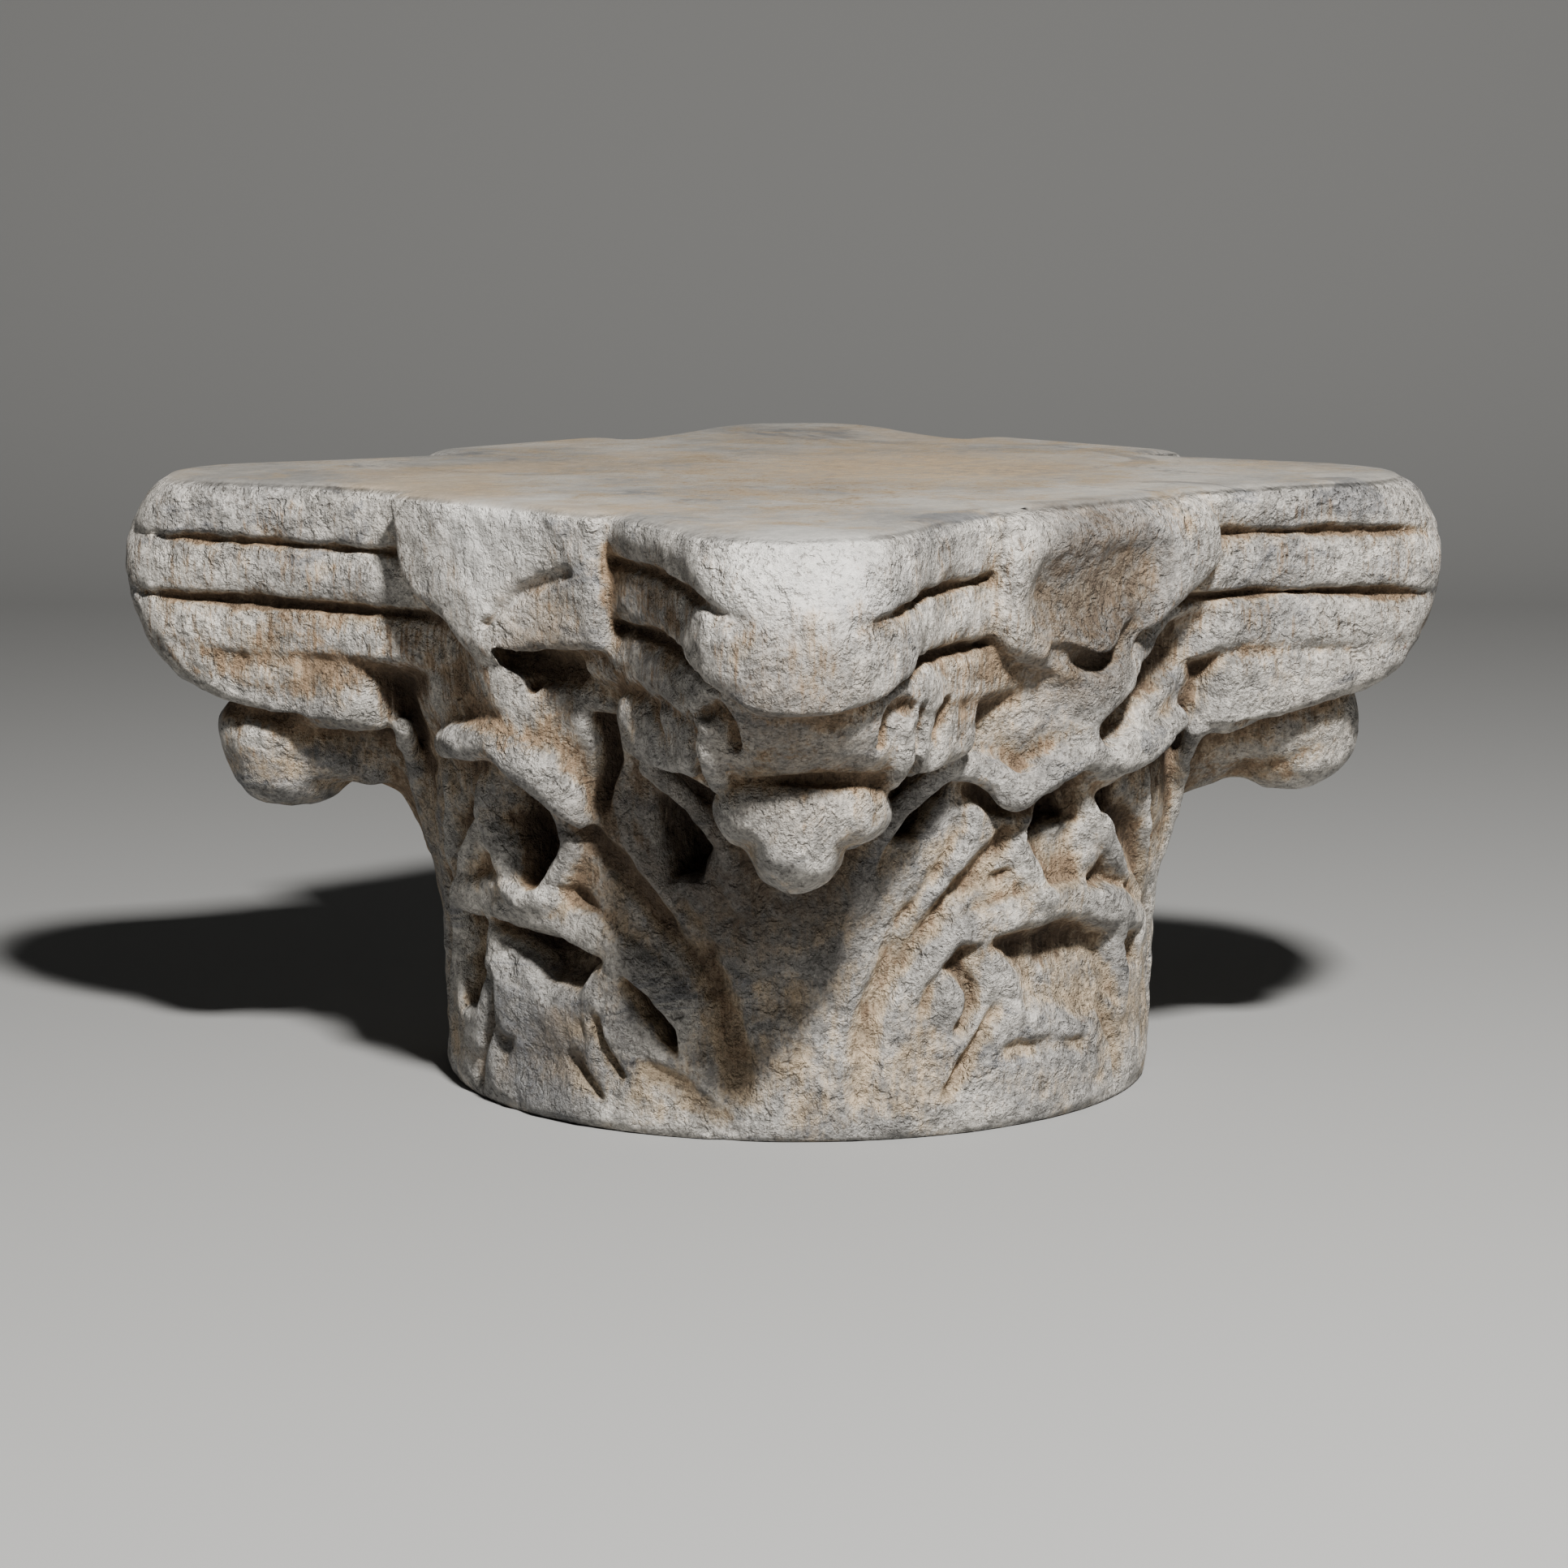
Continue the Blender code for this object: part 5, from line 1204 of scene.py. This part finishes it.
# Places that were worn clean, and the stained middle of the top: where, and how far they reach
CLEAN = (((0.204, -0.204, 0.262), 0.014, 0.05), ((0.01, -0.197, 0.262), 0.02, 0.055))
TOP_MIDDLE = ((0.02, 0.05, HEIGHT), 0.03, 0.13)


class Marble(Nodes):
    """The layers of the weathered marble, with the noises and the places that they share."""

    def __init__(self, material):
        super().__init__(material)
        self.fine = self.attribute("fine_hollow")
        self.broad = self.attribute("hollow")
        self.deep = self.attribute("deep_hollow")
        self.up = self.height()
        self.top = self.ramp(self.up, HEIGHT - 0.004, HEIGHT - 0.0005)
        self.patches = self.noise(34.0, 6.0, 0.62, distort=0.5)
        self.mottle = self.noise(130.0, 6.0, 0.7)
        self.grains = self.noise(560.0, 4.0, 0.72)
        self.streaks = self.noise(1.0, 5.0, 0.7, self.stretched((420.0, 420.0, 34.0)))
        self.pits = self.times(self.ramp(self.noise(420.0, 4.0, 0.65), 0.34, 0.43, 1.0, 0.0),
                               self.ramp(self.top, 0.0, 1.0, 1.0, 0.15))
        self.clean = 0.0
        for place, inner, outer in CLEAN:
            self.clean = self.math("MAXIMUM", self.clean, self.near(place, inner, outer))
        self.soiled = self.math("SUBTRACT", 1.0, self.times(self.clean, 0.85))

    def near(self, place, inner, outer):
        """1 within the inner distance of a place and 0 beyond the outer one, with an uneven edge."""
        node = self.make("VectorMath")
        node.operation = "DISTANCE"
        self.link(self.place, node.inputs[0])
        self.link(place, node.inputs[1])
        return self.ramp(self.swing(node.outputs["Value"], (self.patches, 0.06)), inner, outer, 1.0, 0.0)

    def bare_stone(self):
        """White and grey stone with veins, warmer low down and in its hollows."""
        color = self.mix(self.ramp(self.noise(11.0, 6.0, 0.6), 0.38, 0.64), WHITE, GREY)
        veins = self.noise(6.0, 7.0, 0.72, self.stretched((1.0, 1.5, 3.0)), 1.8)
        color = self.mix(self.ramp(veins, 0.55, 0.62, 0.0, 0.7), color, VEIN)
        low = self.ramp(self.up, 0.2, 0.12)
        warmth = self.swing(0.0, (self.mottle, 1.0), (self.streaks, 0.9), (self.patches, 2.0))
        warmth = self.total(warmth, (self.broad, 0.7), (low, 0.25))
        color = self.mix(self.times(self.ramp(warmth, -0.2, 0.5, 0.0, 0.95), self.soiled), color, CREAM)
        return self.mix(self.times(self.clean, 0.5), color, CLEAN_WHITE)

    def rasped(self, color):
        """Ochre lines that run down the bands of the slab."""
        bands = self.times(self.ramp(self.up, 0.18, 0.205), self.ramp(self.up, 0.262, 0.274, 1.0, 0.0))
        lines = self.times(self.times(bands, self.soiled), self.ramp(self.patches, 0.42, 0.58, 0.15, 1.0))
        return self.mix(self.times(lines, self.ramp(self.streaks, 0.5, 0.62, 0.0, 0.75)), color, OCHRE)

    def dirt(self):
        """How much ochre dirt lies in and round the hollows, with less towards the foot."""
        dirt = self.swing(0.0, (self.patches, 1.4), (self.mottle, 1.9), (self.streaks, 2.2))
        dirt = self.total(dirt, (self.fine, 0.42), (self.broad, 0.62))
        return self.times(dirt, self.times(self.soiled, self.ramp(self.up, 0.02, 0.1, 0.35, 1.0)))

    def grime_and_shade(self):
        """How much dark brown lies in the deep hollows, grime and painted shade, with less towards the
        foot.
        """
        grime_and_shade = self.swing(0.0, (self.grains, 1.0), (self.streaks, 1.2), (self.mottle, 1.8))
        # More dark brown the deeper the hollow: grime and painted shade
        grime_and_shade = self.total(grime_and_shade, (self.fine, 0.28), (self.deep, 0.72))
        return self.times(grime_and_shade, self.ramp(self.up, 0.01, 0.08, 0.5, 1.0))

    def stained_and_shaded(self, color):
        """The stains of single places, with painted shade and a painted shadow under the near nose, and
        red specks and dark pits all over.
        """
        uneven = self.ramp(self.mottle, 0.36, 0.6, 0.35, 1.0)
        for place, inner, outer, strength, stain in STAINS_AND_PAINTED_SHADE:
            share = self.times(self.near(place, inner, outer), uneven)
            color = self.mix(self.times(share, strength), color, stain)
        specks = self.times(self.ramp(self.cells(46.0), 0.03, 0.065, 1.0, 0.0),
                            self.ramp(self.noise(31.0, 2.0), 0.6, 0.68))
        color = self.mix(self.times(specks, 0.55), color, SPECK)
        return self.mix(self.times(self.pits, 0.5), color, BROWN_AND_SHADE)

    def topped(self, color):
        """The greyer top, with ochre stains that are strongest in its middle."""
        stain = self.times(self.top, self.ramp(self.noise(7.0, 6.0, 0.65), 0.46, 0.64, 0.0, 0.6))
        middle = self.times(self.top, self.near(*TOP_MIDDLE))
        middle = self.times(middle, self.ramp(self.mottle, 0.36, 0.6, 0.45, 0.9))
        color = self.mix(self.times(self.top, 0.85), color, TOP, "MULTIPLY")
        return self.mix(self.math("MAXIMUM", stain, middle), color, TOP_STAIN)

    def grained(self, color):
        """Light and dark grains, weaker on the top and where the stone was worn clean."""
        shade = self.total(0.0, (self.grains, 0.4), (self.mottle, 0.6))
        smooth = self.math("MAXIMUM", self.times(self.top, 0.7), self.times(self.clean, 0.75))
        shade = self.grey(self.ramp(shade, 0.38, 0.64, 0.48, 1.26))
        shade = self.mix(smooth, shade, (1.0, 1.0, 1.0, 1.0))
        return self.mix(1.0, color, shade, "MULTIPLY")

    def relief(self):
        """The finest relief, weaker on the top and where the stone was worn clean."""
        chips = self.ramp(self.noise(230.0, 3.0, 0.6), 0.41, 0.5)
        scars = self.ramp(self.noise(80.0, 4.0, 0.6, distort=0.4), 0.38, 0.47)
        relief = self.total(0.0, (self.mottle, 0.8), (self.pits, -0.1), (self.grains, 0.2),
                            (self.streaks, 0.16), (chips, 0.11), (scars, 0.24))
        relief = self.times(relief, self.ramp(self.top, 0.0, 1.0, 1.0, 0.1))
        relief = self.times(relief, self.ramp(self.clean, 0.0, 1.0, 1.0, 0.45))
        return self.times(relief, self.ramp(self.noise(24.0, 3.0), 0.36, 0.62, 0.55, 1.15))


def weathered_marble():
    """White-grey marble: clean where it is worn, ochre and brown in and round its hollows, with painted
    shade in the deep hollows and under the near nose.
    """
    material = bpy.data.materials.new("weathered_marble")
    material.use_nodes = True
    n = Marble(material)
    dirt = n.dirt()
    color = n.rasped(n.bare_stone())
    color = n.mix(n.ramp(dirt, 0.06, 0.84, 0.0, 0.92), color, OCHRE)
    # Dark brown in the deep hollows: grime, partly painted shade
    color = n.mix(n.ramp(n.grime_and_shade(), 0.3, 1.1, 0.0, 0.92), color, BROWN_AND_SHADE)
    color = n.grained(n.topped(n.stained_and_shaded(color)))
    n.link(color, n.shader.inputs["Base Color"])
    n.link(n.ramp(dirt, -0.1, 0.6, 0.48, 0.85), n.shader.inputs["Roughness"])
    n.shader.inputs["Specular IOR Level"].default_value = 0.35
    bump = n.make("Bump", Strength=1.0, Distance=RELIEF_DEPTH, Height=n.relief())
    n.link(bump.outputs["Normal"], n.shader.inputs["Normal"])
    return material


# The camera: it looks at the near horn from slightly above, through a long lens
CAMERA_ANGLE = math.radians(45.0)
CAMERA_DISTANCE = 2.0
CAMERA_HEIGHT = 0.454
CAMERA_PITCH = math.radians(9.17)
SENSOR = 36.0
FOCUS_PIXELS = 5374.0
FRAME_PIXELS = 1932.0
AXIS_PIXEL = 984.0

# The floor, which curves up into a backdrop behind the stone
FLOOR_FRONT = -1.6
FLOOR_REACH = 2.6
FLOOR_SWEEP = 0.8
FLOOR_STEPS = 16
BACKDROP_HEIGHT = 2.6
FLOOR_HALF = 3.2
FLOOR_COLOR = (0.25, 0.25, 0.247, 1.0)

# The lights: the way to each (right of, towards and above the camera's view), then its distance,
# size, power and colour; and the faint light from all round
LIGHTS = (("key", (0.185, 0.7, 0.69), 2.2, 0.2, 150.0, (1.0, 0.985, 0.955)),
          ("left_fill", (-0.9, 0.35, 0.28), 2.4, 0.7, 0.9, (0.96, 0.98, 1.0)),
          ("back", (0.2, -0.7, 0.75), 2.4, 1.4, 1.2, (1.0, 1.0, 1.0)))
AROUND_COLOR = (0.9, 0.92, 0.95, 1.0)
AROUND_STRENGTH = 0.005

UPWARD = Vector((0.0, 0.0, 1.0))
TOWARD = Vector((math.sin(CAMERA_ANGLE), -math.cos(CAMERA_ANGLE), 0.0))
RIGHT = Vector((math.cos(CAMERA_ANGLE), math.sin(CAMERA_ANGLE), 0.0))


def add_floor():
    """A pale floor that curves up into a backdrop behind the stone."""
    bend = FLOOR_REACH - FLOOR_SWEEP
    profile = [(FLOOR_FRONT, 0.0), (bend, 0.0)]
    for turn in np.linspace(0.0, 0.5 * math.pi, FLOOR_STEPS)[1:]:
        profile.append((bend + FLOOR_SWEEP * math.sin(turn), FLOOR_SWEEP * (1.0 - math.cos(turn))))
    profile.append((FLOOR_REACH, BACKDROP_HEIGHT))
    points = [UPWARD * up - TOWARD * out + RIGHT * side
              for out, up in profile for side in (-FLOOR_HALF, FLOOR_HALF)]
    faces = [(2 * i, 2 * i + 1, 2 * i + 3, 2 * i + 2) for i in range(len(profile) - 1)]
    mesh = bpy.data.meshes.new("floor")
    mesh.from_pydata([tuple(point) for point in points], [], faces)
    mesh.shade_smooth()
    material = bpy.data.materials.new("pale_floor")
    material.use_nodes = True
    shader = material.node_tree.nodes["Principled BSDF"]
    shader.inputs["Base Color"].default_value = FLOOR_COLOR
    shader.inputs["Roughness"].default_value = 0.9
    mesh.materials.append(material)
    add_item("floor", mesh)


def add_camera():
    camera = bpy.data.cameras.new("camera")
    camera.sensor_width = SENSOR
    camera.lens = FOCUS_PIXELS / FRAME_PIXELS * SENSOR
    camera.clip_start = 0.05
    yaw = math.atan((AXIS_PIXEL - 0.5 * FRAME_PIXELS) / FOCUS_PIXELS)
    level = -TOWARD * math.cos(yaw) - RIGHT * math.sin(yaw)
    side = RIGHT * math.cos(yaw) - TOWARD * math.sin(yaw)
    into = level * math.cos(CAMERA_PITCH) - UPWARD * math.sin(CAMERA_PITCH)
    top = level * math.sin(CAMERA_PITCH) + UPWARD * math.cos(CAMERA_PITCH)
    item = add_item("camera", camera)
    turn = Matrix((side, top, -into)).transposed().to_4x4()
    item.matrix_world = Matrix.Translation(TOWARD * CAMERA_DISTANCE + UPWARD * CAMERA_HEIGHT) @ turn
    bpy.context.scene.camera = item


def add_light(name, way, distance, size, power, color):
    """A soft square light that shines on the middle of the stone."""
    across, near, up = way
    way = (RIGHT * across + TOWARD * near + UPWARD * up).normalized()
    light = bpy.data.lights.new(name, "AREA")
    light.size = size
    light.energy = power
    light.color = color
    item = add_item(name, light)
    item.location = way * distance + UPWARD * 0.6 * HEIGHT
    item.rotation_mode = "QUATERNION"
    item.rotation_quaternion = way.to_track_quat("Z", "Y")


def add_studio():
    for light in LIGHTS:
        add_light(*light)
    world = bpy.data.worlds.new("studio")
    world.use_nodes = True
    background = world.node_tree.nodes["Background"]
    background.inputs["Color"].default_value = AROUND_COLOR
    background.inputs["Strength"].default_value = AROUND_STRENGTH
    bpy.context.scene.world = world


capital = carve_stone()
capital.data.materials.clear()
capital.data.materials.append(weathered_marble())
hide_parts(NODE)
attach(capital, "root")
add_floor()
add_camera()
add_studio()
